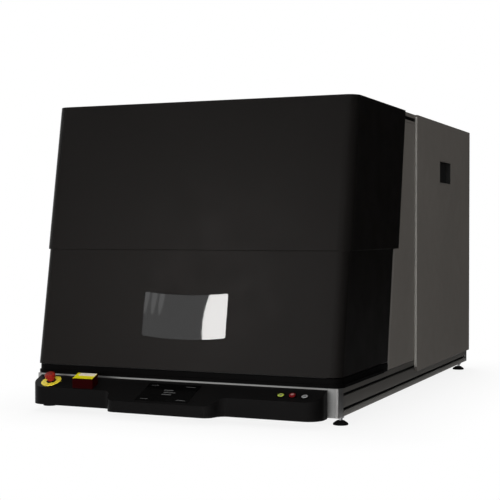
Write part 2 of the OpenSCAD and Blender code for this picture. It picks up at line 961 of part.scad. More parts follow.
module console_shell() {
    color([0.08, 0.08, 0.08]) machine() difference() {
        intersection() {
            translate([0, 0, console_z]) linear_extrude(100) polygon(console_points(0));
            under_slope(0);
        }
        intersection() {
            translate([0, 0, console_z - 1]) linear_extrude(100) polygon(console_points(console_wall));
            translate([0, 1, 0]) under_slope(console_wall);
            block([-big, -big, -big], [big, -console_wall, big]);
        }
        pad_block(0.2, -pad_t - 0.2, 5);
        on_console(estop_x, estop_s) barrel_hole(estop_barrel);
        for (x = button_x) on_console(x, button_s) barrel_hole(button_barrel);
    }
}

// Bottom of the console, let in between the shell's walls
module console_tray() {
    color([0.1, 0.1, 0.1]) machine() intersection() {
        translate([0, 0, console_z]) linear_extrude(tray_t) polygon(console_points(console_wall + 0.2));
        block([-big, -big, -big], [big, -console_wall - 0.2, big]);
    }
}

// Flush touch panel
module touch_pad() {
    color([0.02, 0.02, 0.02]) machine() pad_block(0, -pad_t, 0.2);
}

// Yellow disc under the emergency stop
module estop_plate() {
    color([0.9, 0.82, 0.12]) machine() on_console(estop_x, estop_s) difference() {
        cylinder(d = estop_disc, h = estop_disc_t);
        barrel_hole(estop_barrel);
    }
}

// Collar, barrel and contact block of the emergency stop
module estop_body() {
    low = estop_block_z - 26;
    color([0.25, 0.25, 0.25]) machine() on_console(estop_x, estop_s) difference() {
        union() {
            translate([0, 0, estop_disc_t]) cylinder(d = 29, h = estop_collar_t);
            translate([0, 0, estop_block_z]) cylinder(d = estop_barrel, h = 2 - estop_block_z);
            block([-14, -14, low], [14, 14, estop_block_z]);
        }
        translate([0, 0, estop_stem_low - 5]) cylinder(d = estop_stem_d + 2 * run, h = 30);
    }
}

// Plunger of the emergency stop, with the pin that its head turns on
module estop_stem() {
    stem_top = estop_low - 0.2;
    pin_end = estop_pin_top - 0.2;
    color([0.5, 0.1, 0.08]) machine() on_console(estop_x, estop_s) {
        translate([0, 0, estop_stem_low]) cylinder(d = estop_stem_d, h = stem_top - estop_stem_low);
        translate([0, 0, stem_top - 1]) cylinder(d = estop_pin_d, h = pin_end - stem_top + 1);
    }
}

// Mushroom head with scalloped sides
module estop_head() {
    notches = 8;
    color([0.78, 0.1, 0.08]) machine() on_console(estop_x, estop_s) difference() {
        union() {
            translate([0, 0, estop_low]) cylinder(d1 = 24, d2 = 25, h = estop_cap_z - estop_low);
            translate([0, 0, estop_cap_z]) cylinder(d1 = 30.5, d2 = 32, h = 8.5);
            translate([0, 0, estop_cap_z + 8.5]) cylinder(d1 = 32, d2 = 26, h = 4.5);
        }
        translate([0, 0, estop_low - 1])
            cylinder(d = estop_pin_d + 2 * run, h = estop_pin_top - estop_low + 1);
        for (i = [0:notches - 1]) rotate(i * 360 / notches)
            translate([19.4, 0, estop_cap_z - 1]) cylinder(d = 9, h = 15, $fn = 24);
    }
}

// Red lens of the indicator lamp: upright sides and a top that runs with the slope
module lamp_box() {
    color([0.5, 0.03, 0.03]) machine() difference() {
        intersection() {
            block([lamp_x - lamp_w / 2, -lamp_front, 0], [lamp_x + lamp_w / 2, -lamp_rear, 200]);
            under_slope(-lamp_h);
        }
        under_slope(0);
    }
}

module at_button(i) {
    on_console(button_x[i], button_s) children();
}

// Rings and barrels of the three push buttons
module button_bezels() {
    color([0.05, 0.05, 0.05]) machine() for (i = [0:2]) at_button(i) difference() {
        union() {
            cylinder(d = bezel_d, h = bezel_h);
            translate([0, 0, -button_l]) cylinder(d = button_barrel, h = button_l + 1);
        }
        translate([0, 0, 4 - button_l]) cylinder(d = button_stem + 2 * run, h = button_l);
        translate([0, 0, -button_well]) cylinder(d = button_cap + 2 * run, h = button_well + bezel_h + 1);
    }
}

// Cap and stem of a push button that stands out of the slope by a height
module button(i, out) {
    low = -1.2;
    edge = 1;
    at_button(i) {
        translate([0, 0, low]) cylinder(d = button_cap, h = out - edge - low);
        translate([0, 0, out - edge]) cylinder(d1 = button_cap, d2 = button_cap - 2 * edge, h = edge);
        translate([0, 0, -9]) cylinder(d = button_stem, h = 9 + low + 0.5);
    }
}

module green_button() {
    color([0.45, 0.75, 0.2]) machine() button(0, 2.5);
}

module red_button() {
    color([0.8, 0.1, 0.08]) machine() button(1, 6);
}

module white_button() {
    color([0.85, 0.85, 0.85]) machine() button(2, 2.5);
}

front_rail();
rear_rail();
side_rail_left();
side_rail_right();
rail_end_caps();
cross_members();
foot_pads();
foot_studs();
base_plate();
sill();
guide_posts();
upright_posts();
top_rails();
upper_cover();
front_panel_left();
front_panel_right();
rear_cover_left();
rear_cover_right();
handle_cups();
top_cover();
rear_panel();
extraction_duct();
extraction_spigot();
mains_gland();
isolator_base();
isolator_knob();
bulkhead();
work_table();
table_legs();
z_column();
z_motor();
z_screw();
linear_rails();
lift_cylinders();
light_bars();
electronics_boxes();
fan_frame();
fan_rotor();
door_shell();
window_pane();
window_frame();
door_carriages();
lift_rods();
door_seal();
z_carriage();
laser_source();
scan_head();
scan_lens();
console_shell();
console_tray();
touch_pad();
estop_plate();
estop_body();
estop_stem();
estop_head();
lamp_box();
button_bezels();
green_button();
red_button();
white_button();
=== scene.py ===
# %% [markdown]
# # A laser marking machine
# The construction of this machine is already made: every piece stands in the frame at its real
# size. This lesson gives it its looks: first the camera and the light, then the finishes, and then
# each visible piece, modelled again with soft edges, seams and gaps.
# %% Load the frame
import math

import bmesh
import bpy
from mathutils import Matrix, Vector


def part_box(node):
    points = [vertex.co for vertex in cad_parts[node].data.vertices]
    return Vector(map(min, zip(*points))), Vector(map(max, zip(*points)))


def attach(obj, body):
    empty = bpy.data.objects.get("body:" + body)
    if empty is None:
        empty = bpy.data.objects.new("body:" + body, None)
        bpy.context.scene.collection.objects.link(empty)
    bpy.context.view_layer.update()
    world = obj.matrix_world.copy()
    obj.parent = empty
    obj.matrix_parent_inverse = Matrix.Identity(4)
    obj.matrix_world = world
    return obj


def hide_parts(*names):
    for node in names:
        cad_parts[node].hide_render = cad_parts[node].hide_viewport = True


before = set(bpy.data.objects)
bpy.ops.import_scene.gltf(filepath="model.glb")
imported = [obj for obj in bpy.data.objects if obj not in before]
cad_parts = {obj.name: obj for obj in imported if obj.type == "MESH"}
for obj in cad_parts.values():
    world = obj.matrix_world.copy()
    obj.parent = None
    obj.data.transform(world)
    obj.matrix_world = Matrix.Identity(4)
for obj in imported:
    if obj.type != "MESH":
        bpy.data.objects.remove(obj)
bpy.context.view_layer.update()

# %% [markdown]
# ## The camera
# The machine is seen from the front and a little from its right, at about the height of its
# middle. A long lens keeps the uprights nearly parallel.
# %% Camera
LENS = 84.9
CAMERA_PLACE = (1.4977, -3.7457, 0.5309)
LOOK_DOWN = math.radians(0.946)
LOOK_LEFT = math.radians(23.07)

camera_data = bpy.data.cameras.new("camera")
camera_data.lens = LENS
camera = bpy.data.objects.new("camera", camera_data)
camera.location = CAMERA_PLACE
camera.rotation_euler = (math.pi / 2 - LOOK_DOWN, 0, LOOK_LEFT)
scene = bpy.context.scene
scene.collection.objects.link(camera)
scene.camera = camera
scene.view_settings.view_transform = "Standard"
print("camera at", CAMERA_PLACE)

# %% [markdown]
# ## Helpers for primitives
# An operator works on everything that is selected, so a step starts by selecting one piece only. A
# primitive's place is applied to its mesh, so that its object stays at the origin.
# %% Primitives
def select_only(piece):
    bpy.ops.object.select_all(action="DESELECT")
    piece.select_set(True)
    bpy.context.view_layer.objects.active = piece


def apply_place():
    bpy.ops.object.transform_apply(location=True, rotation=True, scale=True)


def settle(name):
    """Names the primitive just added and puts its place into its mesh."""
    piece = bpy.context.object
    piece.name = name
    piece.data.name = name
    apply_place()
    return piece


def block(name, low, high):
    """A block between two corners."""
    low, high = Vector(low), Vector(high)
    bpy.ops.mesh.primitive_cube_add(size=1, location=(low + high) / 2, scale=high - low)
    return settle(name)


def drum(name, radius, low, high, sides=64, centre=(0, 0)):
    """An upright cylinder between two heights."""
    bpy.ops.mesh.primitive_cylinder_add(vertices=sides, radius=radius, depth=high - low,
                                        location=(*centre, (low + high) / 2))
    return settle(name)


# %% [markdown]
# ## Helpers for edit mode
# In edit mode, parts of a mesh are picked by where they are or which way they face. Then some
# corners are shifted, some edges are bevelled or some faces are deleted.
# %% Edit mode
TINY = 0.0002


def edit(piece):
    select_only(piece)
    bpy.ops.object.mode_set(mode="EDIT")


def done():
    bpy.ops.object.mode_set(mode="OBJECT")


def pick(kind, test):
    bpy.ops.mesh.select_mode(type=kind)
    bpy.ops.mesh.select_all(action="DESELECT")
    mesh = bmesh.from_edit_mesh(bpy.context.object.data)
    mesh.normal_update()
    for part in {"VERT": mesh.verts, "EDGE": mesh.edges, "FACE": mesh.faces}[kind]:
        if test(part):
            part.select_set(True)
    mesh.select_flush_mode()
    bmesh.update_edit_mesh(bpy.context.object.data)


def shift(test, move):
    pick("VERT", lambda v: test(v.co))
    bpy.ops.transform.translate(value=move)


def bevel_edges(test, radius, segments):
    """Rounds the edges that pass a test of their middle and their span."""
    pick("EDGE", lambda e: test((e.verts[0].co + e.verts[1].co) / 2, e.verts[1].co - e.verts[0].co))
    bpy.ops.mesh.bevel(offset=radius, segments=segments, affect="EDGES")


def delete_faces(test):
    pick("FACE", test)
    bpy.ops.mesh.delete(type="FACE")


def near(value, *targets):
    return any(abs(value - target) < TINY for target in targets)


# %% [markdown]
# ## Helpers for modifiers
# A modifier gives a sheet its thickness, cuts a hole or rounds all sharp edges. Each is applied at
# once, so that the mesh holds the real shape. Weighted normals keep large flats looking flat
# beside their rounded edges.
# %% Modifiers and joining
def apply_modifier(piece, kind, **settings):
    select_only(piece)
    modifier = piece.modifiers.new(kind.lower(), kind)
    for setting, value in settings.items():
        setattr(modifier, setting, value)
    bpy.ops.object.modifier_apply(modifier=modifier.name)


def thicken(piece, wall):
    apply_modifier(piece, "SOLIDIFY", thickness=wall, offset=-1, use_even_offset=True)


def cut(piece, tool, operation="DIFFERENCE"):
    """Takes a tool's shape out of a piece, or adds it, and throws the tool away."""
    apply_modifier(piece, "BOOLEAN", operation=operation, solver="EXACT", object=tool)
    bpy.data.objects.remove(tool)


def join(name, first, *others):
    select_only(first)
    for other in others:
        other.select_set(True)
    bpy.ops.object.join()
    first.name = name
    return first


def smooth(piece, angle):
    select_only(piece)
    bpy.ops.object.shade_smooth_by_angle(angle=math.radians(angle))


def polish(piece, width, segments=3, angle=35):
    """Rounds every edge sharper than the angle and shades the result smooth."""
    if width:
        apply_modifier(piece, "BEVEL", width=width, segments=segments, limit_method="ANGLE",
                       angle_limit=math.radians(angle), miter_outer="MITER_ARC")
    smooth(piece, angle)
    apply_modifier(piece, "WEIGHTED_NORMAL", keep_sharp=True)
    return piece


def stand(piece, place, turn_x):
    select_only(piece)
    piece.location = place
    piece.rotation_euler.x = turn_x
    apply_place()
    return piece


# %% [markdown]
# ## Floor, backdrop and light
# The machine stands on a pale floor that runs into a white background. The world looks white where
# it is seen, also in a reflection or through glass, and lights the object with a soft grey. One
# helper adds every shader node.
# %% World
AMBIENT = 0.26


def empty_tree(owner):
    owner.use_nodes = True
    owner.node_tree.nodes.clear()
    return owner.node_tree


def add(tree, kind, given, **settings):
    """Adds a node and returns its outputs; given maps inputs to values or to outputs."""
    node = tree.nodes.new("ShaderNode" + kind)
    for setting, value in settings.items():
        setattr(node, setting, value)
    for key, value in given.items():
        if isinstance(value, bpy.types.NodeSocket):
            tree.links.new(value, node.inputs[key])
        else:
            node.inputs[key].default_value = value
    return node.outputs


def plain(level):
    return (level, level, level, 1)


def seen_mask(tree):
    """1 for rays that show the studio itself, 0 for those that only carry its light."""
    path = add(tree, "LightPath", {})
    mask = path["Is Camera Ray"]
    for ray in ("Is Glossy Ray", "Is Transmission Ray"):
        mask = add(tree, "Math", {0: mask, 1: path[ray]}, operation="MAXIMUM")[0]
    return mask


world = bpy.data.worlds.new("studio")
scene.world = world
tree = empty_tree(world)
dim = add(tree, "Background", {"Color": plain(1), "Strength": AMBIENT})[0]
white = add(tree, "Background", {"Color": plain(1)})[0]
mixed = add(tree, "MixShader", {0: seen_mask(tree), 1: dim, 2: white})[0]
add(tree, "OutputWorld", {"Surface": mixed})

# %% [markdown]
# The floor keeps a soft shadow near the machine and fades to plain white with the distance from
# its footprint.
# %% Floor
FLOOR_R = 30
FLOOR_Z = -0.0005
FLOOR_MATT = 0.15
FLOOR_GLOW = 0.85
FOOTPRINT = (0.48, 0.77, 0)
SHADOW_REACH = 0.34

bpy.ops.mesh.primitive_circle_add(vertices=96, radius=FLOOR_R, fill_type="NGON",
                                  location=(0, 0, FLOOR_Z))
floor = settle("floor")
floor_paint = bpy.data.materials.new("floor_paint")
tree = empty_tree(floor_paint)
matt = add(tree, "BsdfDiffuse", {"Color": plain(FLOOR_MATT)})[0]
lit = add(tree, "Emission", {"Color": plain(FLOOR_GLOW)})[0]
both = add(tree, "AddShader", {0: matt, 1: lit})[0]
far = add(tree, "Emission", {"Color": plain(1)})[0]
outside = add(tree, "TexCoord", {})["Object"]
for operation, other in (("ABSOLUTE", (0, 0, 0)), ("SUBTRACT", FOOTPRINT), ("MAXIMUM", (0, 0, 0))):
    outside = add(tree, "VectorMath", {0: outside, 1: other}, operation=operation)[0]
distance = add(tree, "VectorMath", {0: outside}, operation="LENGTH")["Value"]
fade = add(tree, "MapRange", {"Value": distance, "From Max": SHADOW_REACH})[0]
shown = add(tree, "MixShader", {0: fade, 1: both, 2: far})[0]
mixed = add(tree, "MixShader", {0: seen_mask(tree), 1: matt, 2: shown})[0]
add(tree, "OutputMaterial", {"Surface": mixed})
floor.data.materials.append(floor_paint)

# %% [markdown]
# ### Lamps
# A big soft lamp stands in front and above, and a small low one lights the console's face. The
# lamp on the right is weak, so that side stays dim and the corner shows. Two more light the roof
# and the back. Each lamp is aimed by turning its -Z axis to a target.
# %% Lamps
def lamp(name, place, target, width, height, power, shape="RECTANGLE"):
    data = bpy.data.lights.new(name, "AREA")
    data.shape = shape
    data.size = width
    data.size_y = height
    data.energy = power
    light = bpy.data.objects.new(name, data)
    light.location = place
    light.rotation_euler = (Vector(target) - Vector(place)).to_track_quat("-Z", "Y").to_euler()
    scene.collection.objects.link(light)
    light.visible_glossy = False
    print(name, power, "W")
    return light


lamp("key_lamp", (0.3, -4.6, 2.3), (0, -0.5, 0.4), 2.4, 1.6, 30)
lamp("low_lamp", (0.15, -2.1, 0.12), (0.1, -0.5, 0.35), 1.0, 0.4, 30)
lamp("side_lamp", (4.2, -0.6, 1.3), (0.4, 0.2, 0.5), 1.6, 1.6, 38)
lamp("top_lamp", (-0.4, 0.6, 3.6), (0, 0.4, 0.5), 2.0, 2.0, 40)
lamp("back_lamp", (-1.6, 4.0, 2.4), (0, 0.4, 0.4), 2.4, 1.6, 120)

# %% [markdown]
# ### Dark cards for the reflections
# A glossy flank looks dark only where it reflects something dark. So one curved card stands round
# the right side and the back, and a flat one lies beside the machine. Only reflections see them.
# The curved card's foot is lighter, so that the metal rails don't go black.
# %% Cards
CARD_R = 2.6
CARD_Y = 0.4
CARD_Z = 2.1
CARD_H = 4.8
CARD_FROM = math.radians(-55)
CARD_TO = math.radians(100)
FLAT_GLOW = 0.045


def reflections_only(piece, low_z, high_z, low_glow, high_glow):
    """Makes a piece that only glossy rays see, with a glow that changes with height."""
    for kind in ("camera", "diffuse", "transmission", "shadow"):
        setattr(piece, "visible_" + kind, False)
    paint = bpy.data.materials.new(piece.name + "_paint")
    tree = empty_tree(paint)
    height = add(tree, "SeparateXYZ", {0: add(tree, "TexCoord", {})["Object"]})["Z"]
    glow = add(tree, "MapRange", {"Value": height, "From Min": low_z, "From Max": high_z,
                                  "To Min": low_glow, "To Max": high_glow})[0]
    add(tree, "OutputMaterial", {"Surface": add(tree, "Emission", {"Strength": glow})[0]})
    piece.data.materials.append(paint)


def card_angle(face):
    middle = face.calc_center_median()
    return math.atan2(middle.y - CARD_Y, middle.x)


bpy.ops.mesh.primitive_cylinder_add(vertices=72, radius=CARD_R, depth=CARD_H,
                                    end_fill_type="NOTHING", location=(0, CARD_Y, CARD_Z))
curved = settle("curved_card")
edit(curved)
delete_faces(lambda face: not CARD_FROM < card_angle(face) < CARD_TO)
done()
reflections_only(curved, 0.05, 0.25, 0.035, 0.008)
flat = block("floor_card", (0.52, -1.0, 0.0005), (2.6, 3.0, 0.001))
reflections_only(flat, 0, 1, FLAT_GLOW, FLAT_GLOW)
print("cards:", curved.name, flat.name)

# %% [markdown]
# ## Surface effects as node groups
# No real surface has exactly one colour. Three effects cover this machine: the drawn lines of
# metal, the fine peel of a powder coat and the grain of moulded plastic. Each is a node group with
# the same sockets, but for the last input, which sizes its pattern.
# %% Group helpers
def new_group(name, pattern, pattern_kind):
    """A shader node group, the outputs of its input node, and object coordinates in metres."""
    group = bpy.data.node_groups.new(name, "ShaderNodeTree")
    tint, rough = ("Color", "Color"), ("Roughness", "Float")
    for way, sockets in (("INPUT", (tint, ("Variation", "Float"), rough, (pattern, pattern_kind))),
                         ("OUTPUT", (tint, rough, ("Height", "Float")))):
        for socket, kind in sockets:
            group.interface.new_socket(socket, in_out=way, socket_type="NodeSocket" + kind)
    given = group.nodes.new("NodeGroupInput").outputs
    return group, given, add(group, "TexCoord", {})["Object"]


def noise(group, coordinates, scale, detail=3.0):
    return add(group, "TexNoise", {"Vector": coordinates, "Scale": scale, "Detail": detail})["Fac"]


def spread(group, value, amount):
    """Stretches the middle of a noise from -amount to amount."""
    return add(group, "MapRange", {"Value": value, "From Min": 0.3, "From Max": 0.7,
                                   "To Min": -amount, "To Max": amount})[0]


def close_group(group, given, fine, drift, wear):
    """Tints the color and varies the roughness by pairs of a noise and its amount."""
    tone = add(group, "Math", {0: spread(group, *fine), 1: spread(group, *drift)}, operation="ADD")
    factor = add(group, "Math", {0: tone[0], 1: given["Variation"], 2: 1}, operation="MULTIPLY_ADD")
    color = add(group, "VectorMath", {0: given["Color"], "Scale": factor[0]}, operation="SCALE")
    rough = add(group, "Math", {0: given["Roughness"], 1: spread(group, *wear)}, operation="ADD")
    result = group.nodes.new("NodeGroupOutput")
    for value, socket in zip((color[0], rough[0], fine[0]), result.inputs):
        group.links.new(value, socket)


# %% [markdown]
# The drawn-metal effect squeezes a noise along one direction, so that its blobs become long lines.
# A second, broad noise makes the sheen drift a little, as anodising does.
# %% Drawn metal
group, given, coordinates = new_group("drawn_metal", "Lines", "Vector")
squeezed = add(group, "VectorMath", {0: coordinates, 1: given["Lines"]}, operation="MULTIPLY")[0]
lines = noise(group, squeezed, 1.0, 4.0)
drift = noise(group, coordinates, 5.0)
close_group(group, given, (lines, 0.7), (drift, 0.4), (lines, 0.06))

# %% [markdown]
# The powder-coat effect is a fine noise for the peel and a broad one for the drift of tone. The
# moulded-plastic effect uses small cells, as a spark-eroded mould leaves them. Both wipe the
# roughness here and there, as hands do.
# %% Powder coat and moulded grain
for name in ("powder_coat", "moulded_grain"):
    group, given, coordinates = new_group(name, "Grain", "Float")
    if name == "powder_coat":
        fine = noise(group, coordinates, given["Grain"], 2.0)
    else:
        cells = add(group, "TexVoronoi", {"Vector": coordinates, "Scale": given["Grain"]})
        fine = cells["Distance"]
    drift = noise(group, coordinates, 3.5, 4.0)
    wiped = noise(group, coordinates, 14.0, 5.0)
    close_group(group, given, (fine, 0.35), (drift, 0.7), (wiped, 0.05))
print("effects:", [g.name for g in bpy.data.node_groups])

# %% [markdown]
# ## The finishes
# One function turns an effect into a finish: it gives the group its values and sends its outputs
# to the shader. What is the same all over is set directly on the shader.
# %% Finish maker
FINISHES = {}
BUMP_DEPTH = 0.0004


def finish(name, effect, color, variation, roughness, bump, pattern, **shader_values):
    """A material made from one effect; shader_values are sockets with underscores for spaces."""
    material = bpy.data.materials.new(name)
    material.use_nodes = True
    tree = material.node_tree
    shader = tree.nodes["Principled BSDF"]
    group = tree.nodes.new("ShaderNodeGroup")
    group.node_tree = bpy.data.node_groups[effect]
    for socket, value in zip(group.inputs, ((*color, 1), variation, roughness, pattern)):
        socket.default_value = value
    tint, rough, height = group.outputs
    relief = add(tree, "Bump", {"Strength": bump, "Distance": BUMP_DEPTH, "Height": height})[0]
    for socket, value in (("Base Color", tint), ("Roughness", rough), ("Normal", relief)):
        tree.links.new(value, shader.inputs[socket])
    for socket, value in shader_values.items():
        shader.inputs[socket.replace("_", " ")].default_value = value
    FINISHES[name] = material
    return material


def finishes(effect, last, rows):
    """Makes a finish from each row; a row's last value goes straight to the socket named last."""
    for name, *values, value in rows:
        finish(name, effect, *values, **{last: value})


# %% [markdown]
# ### Metals
# The frame's aluminium profiles are drawn along their length, so the lines run along Y on the side
# rails, along X on the front rail and along Z on the posts.
# %% Metals
ALONG_X = (4, 900, 900)
ALONG_Y = (900, 4, 900)
ALONG_Z = (900, 900, 4)

finishes("drawn_metal", "Metallic", (
    ("rail_front", (0.3, 0.3, 0.295), 0.12, 0.42, 0.05, ALONG_X, 1.0),
    ("rail_side", (0.25, 0.235, 0.215), 0.1, 0.45, 0.05, ALONG_Y, 0.85),
    ("end_cap", (0.31, 0.305, 0.3), 0.08, 0.42, 0.04, ALONG_Z, 0.95),
    ("frame_profile", (0.3, 0.295, 0.29), 0.1, 0.42, 0.05, ALONG_Z, 0.9),
    ("steel_bright", (0.45, 0.45, 0.46), 0.08, 0.25, 0.03, ALONG_Z, 1.0),
    ("table_alu", (0.42, 0.42, 0.43), 0.12, 0.38, 0.06, ALONG_X, 1.0),
    ("duct_metal", (0.4, 0.4, 0.41), 0.15, 0.35, 0.05, ALONG_Y, 1.0),
    ("cylinder_alu", (0.32, 0.32, 0.33), 0.08, 0.35, 0.04, ALONG_Z, 1.0),
    ("carriage_grey", (0.28, 0.28, 0.29), 0.08, 0.4, 0.04, ALONG_X, 0.9),
    ("laser_body", (0.05, 0.05, 0.055), 0.15, 0.38, 0.05, ALONG_Y, 0.7),
    ("lens_black", (0.03, 0.03, 0.035), 0.1, 0.3, 0.04, ALONG_Z, 0.6)))

# %% [markdown]
# ### Paints
# The hood is a deep, nearly matt black. The side and rear covers are a warm grey, and the walls
# inside the chamber a lighter grey.
# %% Paints
finishes("powder_coat", "Specular_IOR_Level", (
    ("hood_black", (0.0046, 0.0041, 0.0038), 0.08, 0.33, 0.05, 900, 0.05),
    ("panel_grey", (0.155, 0.142, 0.128), 0.06, 0.5, 0.06, 800, 0.3),
    # The next, lighter grey is a painted highlight for the light lines along the front fold's
    # edges.
    ("fold_painted_highlight", (0.185, 0.172, 0.158), 0.06, 0.5, 0.06, 800, 0.3),
    # The next, much lighter grey is painted light for the rear covers' front faces, which lie in
    # the hood's shadow.
    ("edge_painted_light", (0.5, 0.485, 0.45), 0.06, 0.45, 0.06, 800, 0.5),
    ("inner_wall", (0.35, 0.35, 0.345), 0.06, 0.5, 0.08, 700, 0.5),
    ("floor_plate", (0.3, 0.3, 0.3), 0.08, 0.5, 0.08, 700, 0.5),
    ("box_grey", (0.33, 0.34, 0.36), 0.06, 0.45, 0.08, 700, 0.5),
    ("motor_black", (0.03, 0.03, 0.034), 0.1, 0.45, 0.08, 600, 0.5)))

# %% [markdown]
# ### Plastics and rubber
# The console is a matt black moulding, and its touch pad is smoother. The stop, the lamp and the
# buttons are satin. Only the isolator's handle has a clear coat.
# %% Plastics and rubber
finishes("moulded_grain", "Specular_IOR_Level", (
    ("console_black", (0.0036, 0.0034, 0.0034), 0.1, 0.32, 0.04, 1100, 0.03),
    ("black_trim", (0.0015, 0.0014, 0.0014), 0.2, 0.45, 0.05, 900, 0.02),
    ("handle_black", (0.022, 0.022, 0.021), 0.15, 0.45, 0.06, 900, 0.2),
    ("fan_black", (0.02, 0.02, 0.02), 0.15, 0.5, 0.05, 900, 0.5),
    # The next near-black grey is painted shade: it makes the stop's collar look like the shadow
    # ring under the head.
    ("estop_grey", (0.008, 0.006, 0.006), 0.1, 0.45, 0.05, 900, 0.1),
    ("foot_rubber", (0.003, 0.003, 0.003), 0.2, 0.6, 0.15, 600, 0.05),
    # The next rubber is the seals' own, and it is also painted shade on the floor of the handle
    # cups.
    ("seal_rubber", (0.012, 0.012, 0.012), 0.2, 0.7, 0.15, 600, 0.2),
    ("light_white", (0.8, 0.8, 0.78), 0.03, 0.4, 0.03, 900, 0.5),
    ("estop_red", (0.2, 0.012, 0.007), 0.08, 0.35, 0.03, 1200, 0.1),
    ("estop_yellow", (0.74, 0.59, 0.04), 0.05, 0.4, 0.03, 1200, 0.5),
    ("isolator_yellow", (0.7, 0.55, 0.03), 0.05, 0.35, 0.03, 1200, 0.5),
    ("pad_black", (0.0012, 0.0012, 0.0012), 0.2, 0.15, 0.0, 1200, 0.08),
    ("print_grey", (0.05, 0.05, 0.05), 0.05, 0.5, 0.0, 1200, 0.5),
    ("lamp_red", (0.0105, 0.0004, 0.0005), 0.15, 0.25, 0.02, 1200, 0.012),
    ("label_yellow", (0.6, 0.53, 0.004), 0.05, 0.45, 0.02, 1200, 0.15),
    ("label_white", (0.66, 0.6, 0.5), 0.05, 0.45, 0.02, 1200, 0.5),
    ("button_green", (0.3, 0.37, 0.05), 0.06, 0.3, 0.0, 1200, 0.2),
    ("button_red", (0.1, 0.004, 0.005), 0.06, 0.3, 0.0, 1200, 0.1),
    ("button_white", (0.2, 0.2, 0.2), 0.06, 0.3, 0.0, 1200, 0.2)))
finish("isolator_red", "moulded_grain", (0.5, 0.03, 0.025), 0.06, 0.32, 0.03, 1200, Coat_Weight=0.2)

# %% [markdown]
# ### The smoked glass
# Most of what one sees in the tinted window is the room that it reflects, so it is very smooth, and
# its index is a little higher than plain glass has. The roughness is the same all over: its link to
# the effect is removed.
# %% Glass
GLASS_ROUGHNESS = 0.02
GLASS_INDEX = 1.56

glass = finish("tinted_glass", "moulded_grain", (0.1, 0.1, 0.1), 0.05, GLASS_ROUGHNESS, 0.0, 1200,
               Transmission_Weight=1.0, IOR=GLASS_INDEX, Roughness=GLASS_ROUGHNESS)
shader = glass.node_tree.nodes["Principled BSDF"]
glass.node_tree.links.remove(shader.inputs["Roughness"].links[0])
print("finishes:", len(FINISHES))

# %% [markdown]
# ## Dressing a piece
# Each finished piece is given its material and the body that it moves with, and the construction
# piece that it stands for is hidden. A detail such as a label stands for none.
# %% Dress
def trim(piece, finish_name, body="machine"):
    piece.data.materials.clear()
    piece.data.materials.append(FINISHES[finish_name])
    for face in piece.data.polygons:
        face.material_index = 0
    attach(piece, body)
    print(piece.name, "in", finish_name, "on", body)


def dress(piece, slot, node=None, body="machine"):
    trim(piece, slot, body)
    if node:
        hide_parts(node)


# %% [markdown]
# ## Bevelled copies
# Slotted profiles and the parts inside already have their exact section. A copy is merged from
# loose triangles, its flats are cleaned and cut into triangles again, because a bevel tears a flat
# that runs around a hole, and its edges are rounded.
# %% Bevelled copies
MERGE_WITHIN = 0.000005
FLAT_WITHIN = math.radians(0.6)


def softened(node, width, slot, body="machine", angle=35, segments=2):
    piece = bpy.data.objects.new("finished_" + node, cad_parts[node].data.copy())
    scene.collection.objects.link(piece)
    edit(piece)
    bpy.ops.mesh.select_all(action="SELECT")
    bpy.ops.mesh.remove_doubles(threshold=MERGE_WITHIN)
    bpy.ops.mesh.dissolve_limited(angle_limit=FLAT_WITHIN)
    bpy.ops.mesh.quads_convert_to_tris()
    done()
    dress(polish(piece, width, segments, angle), slot, node, body)


for body, slot, width, *nodes in (
        ("machine", "rail_side", 0.0006, "side_rail_left", "side_rail_right"),
        ("machine", "frame_profile", 0.0006, "guide_posts", "upright_posts", "cross_members"),
        ("machine", "frame_profile", 0.001, "table_legs"),
        ("machine", "panel_grey", 0.0005, "top_rails"),
        ("machine", "inner_wall", 0.0005, "bulkhead"),
        ("machine", "floor_plate", 0.001, "base_plate"),
        ("machine", "table_alu", 0.0008, "z_column"),
        ("machine", "motor_black", 0.001, "z_motor"),
        ("machine", "steel_bright", 0.0006, "linear_rails"),
        ("machine", "cylinder_alu", 0.0005, "lift_cylinders"),
        ("machine", "box_grey", 0.0006, "electronics_boxes"),
        ("machine", "duct_metal", 0.0003, "extraction_duct"),
        ("machine", "light_white", 0.0015, "light_bars"),
        ("machine", "fan_black", 0.001, "fan_frame"),
        ("door", "carriage_grey", 0.0006, "door_carriages"),
        ("door", "steel_bright", 0.0006, "lift_rods"),
        ("door", "seal_rubber", 0.0006, "door_seal"),
        ("laser_carriage", "carriage_grey", 0.0008, "z_carriage"),
        ("laser_carriage", "laser_body", 0.001, "laser_source"),
        ("laser_carriage", "laser_body", 0.0015, "scan_head"),
        ("laser_carriage", "lens_black", 0.001, "scan_lens"),
        ("height_screw", "steel_bright", 0.0006, "z_screw"),
        ("fan", "fan_black", 0.0005, "fan_rotor")):
    for node in nodes:
        softened(node, width, slot, body)

# %% [markdown]
# ## The work table
# The table is a thick plate with rows of fixing holes. Round bars, joined into one tool, cut all
# the holes at once.
# %% Work table
TABLE_PITCH = 0.09
HOLE_SIZE = 0.003
PAST = 0.002

table_low, table_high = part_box("work_table")
middle_y = (table_low.y + table_high.y) / 2
holes = [drum("hole", HOLE_SIZE, table_low.z - PAST, table_high.z + PAST, 24,
              (column * TABLE_PITCH, middle_y + row * TABLE_PITCH))
         for column in range(-3, 4) for row in (-1.5, -0.5, 0.5, 1.5)]
table = block("table_top", table_low, table_high)
cut(table, join("holes", *holes))
dress(polish(table, 0.0008), "table_alu", "work_table")

# %% [markdown]
# ## The front and rear rails
# A rail is a rectangular tube: a block's two end faces are deleted, and the skin that is left gets
# its wall. The tube ends a little short of the corner, which belongs to the end cap.
# %% Rails
RAIL_WALL = 0.003
CAP_LONG = 0.008

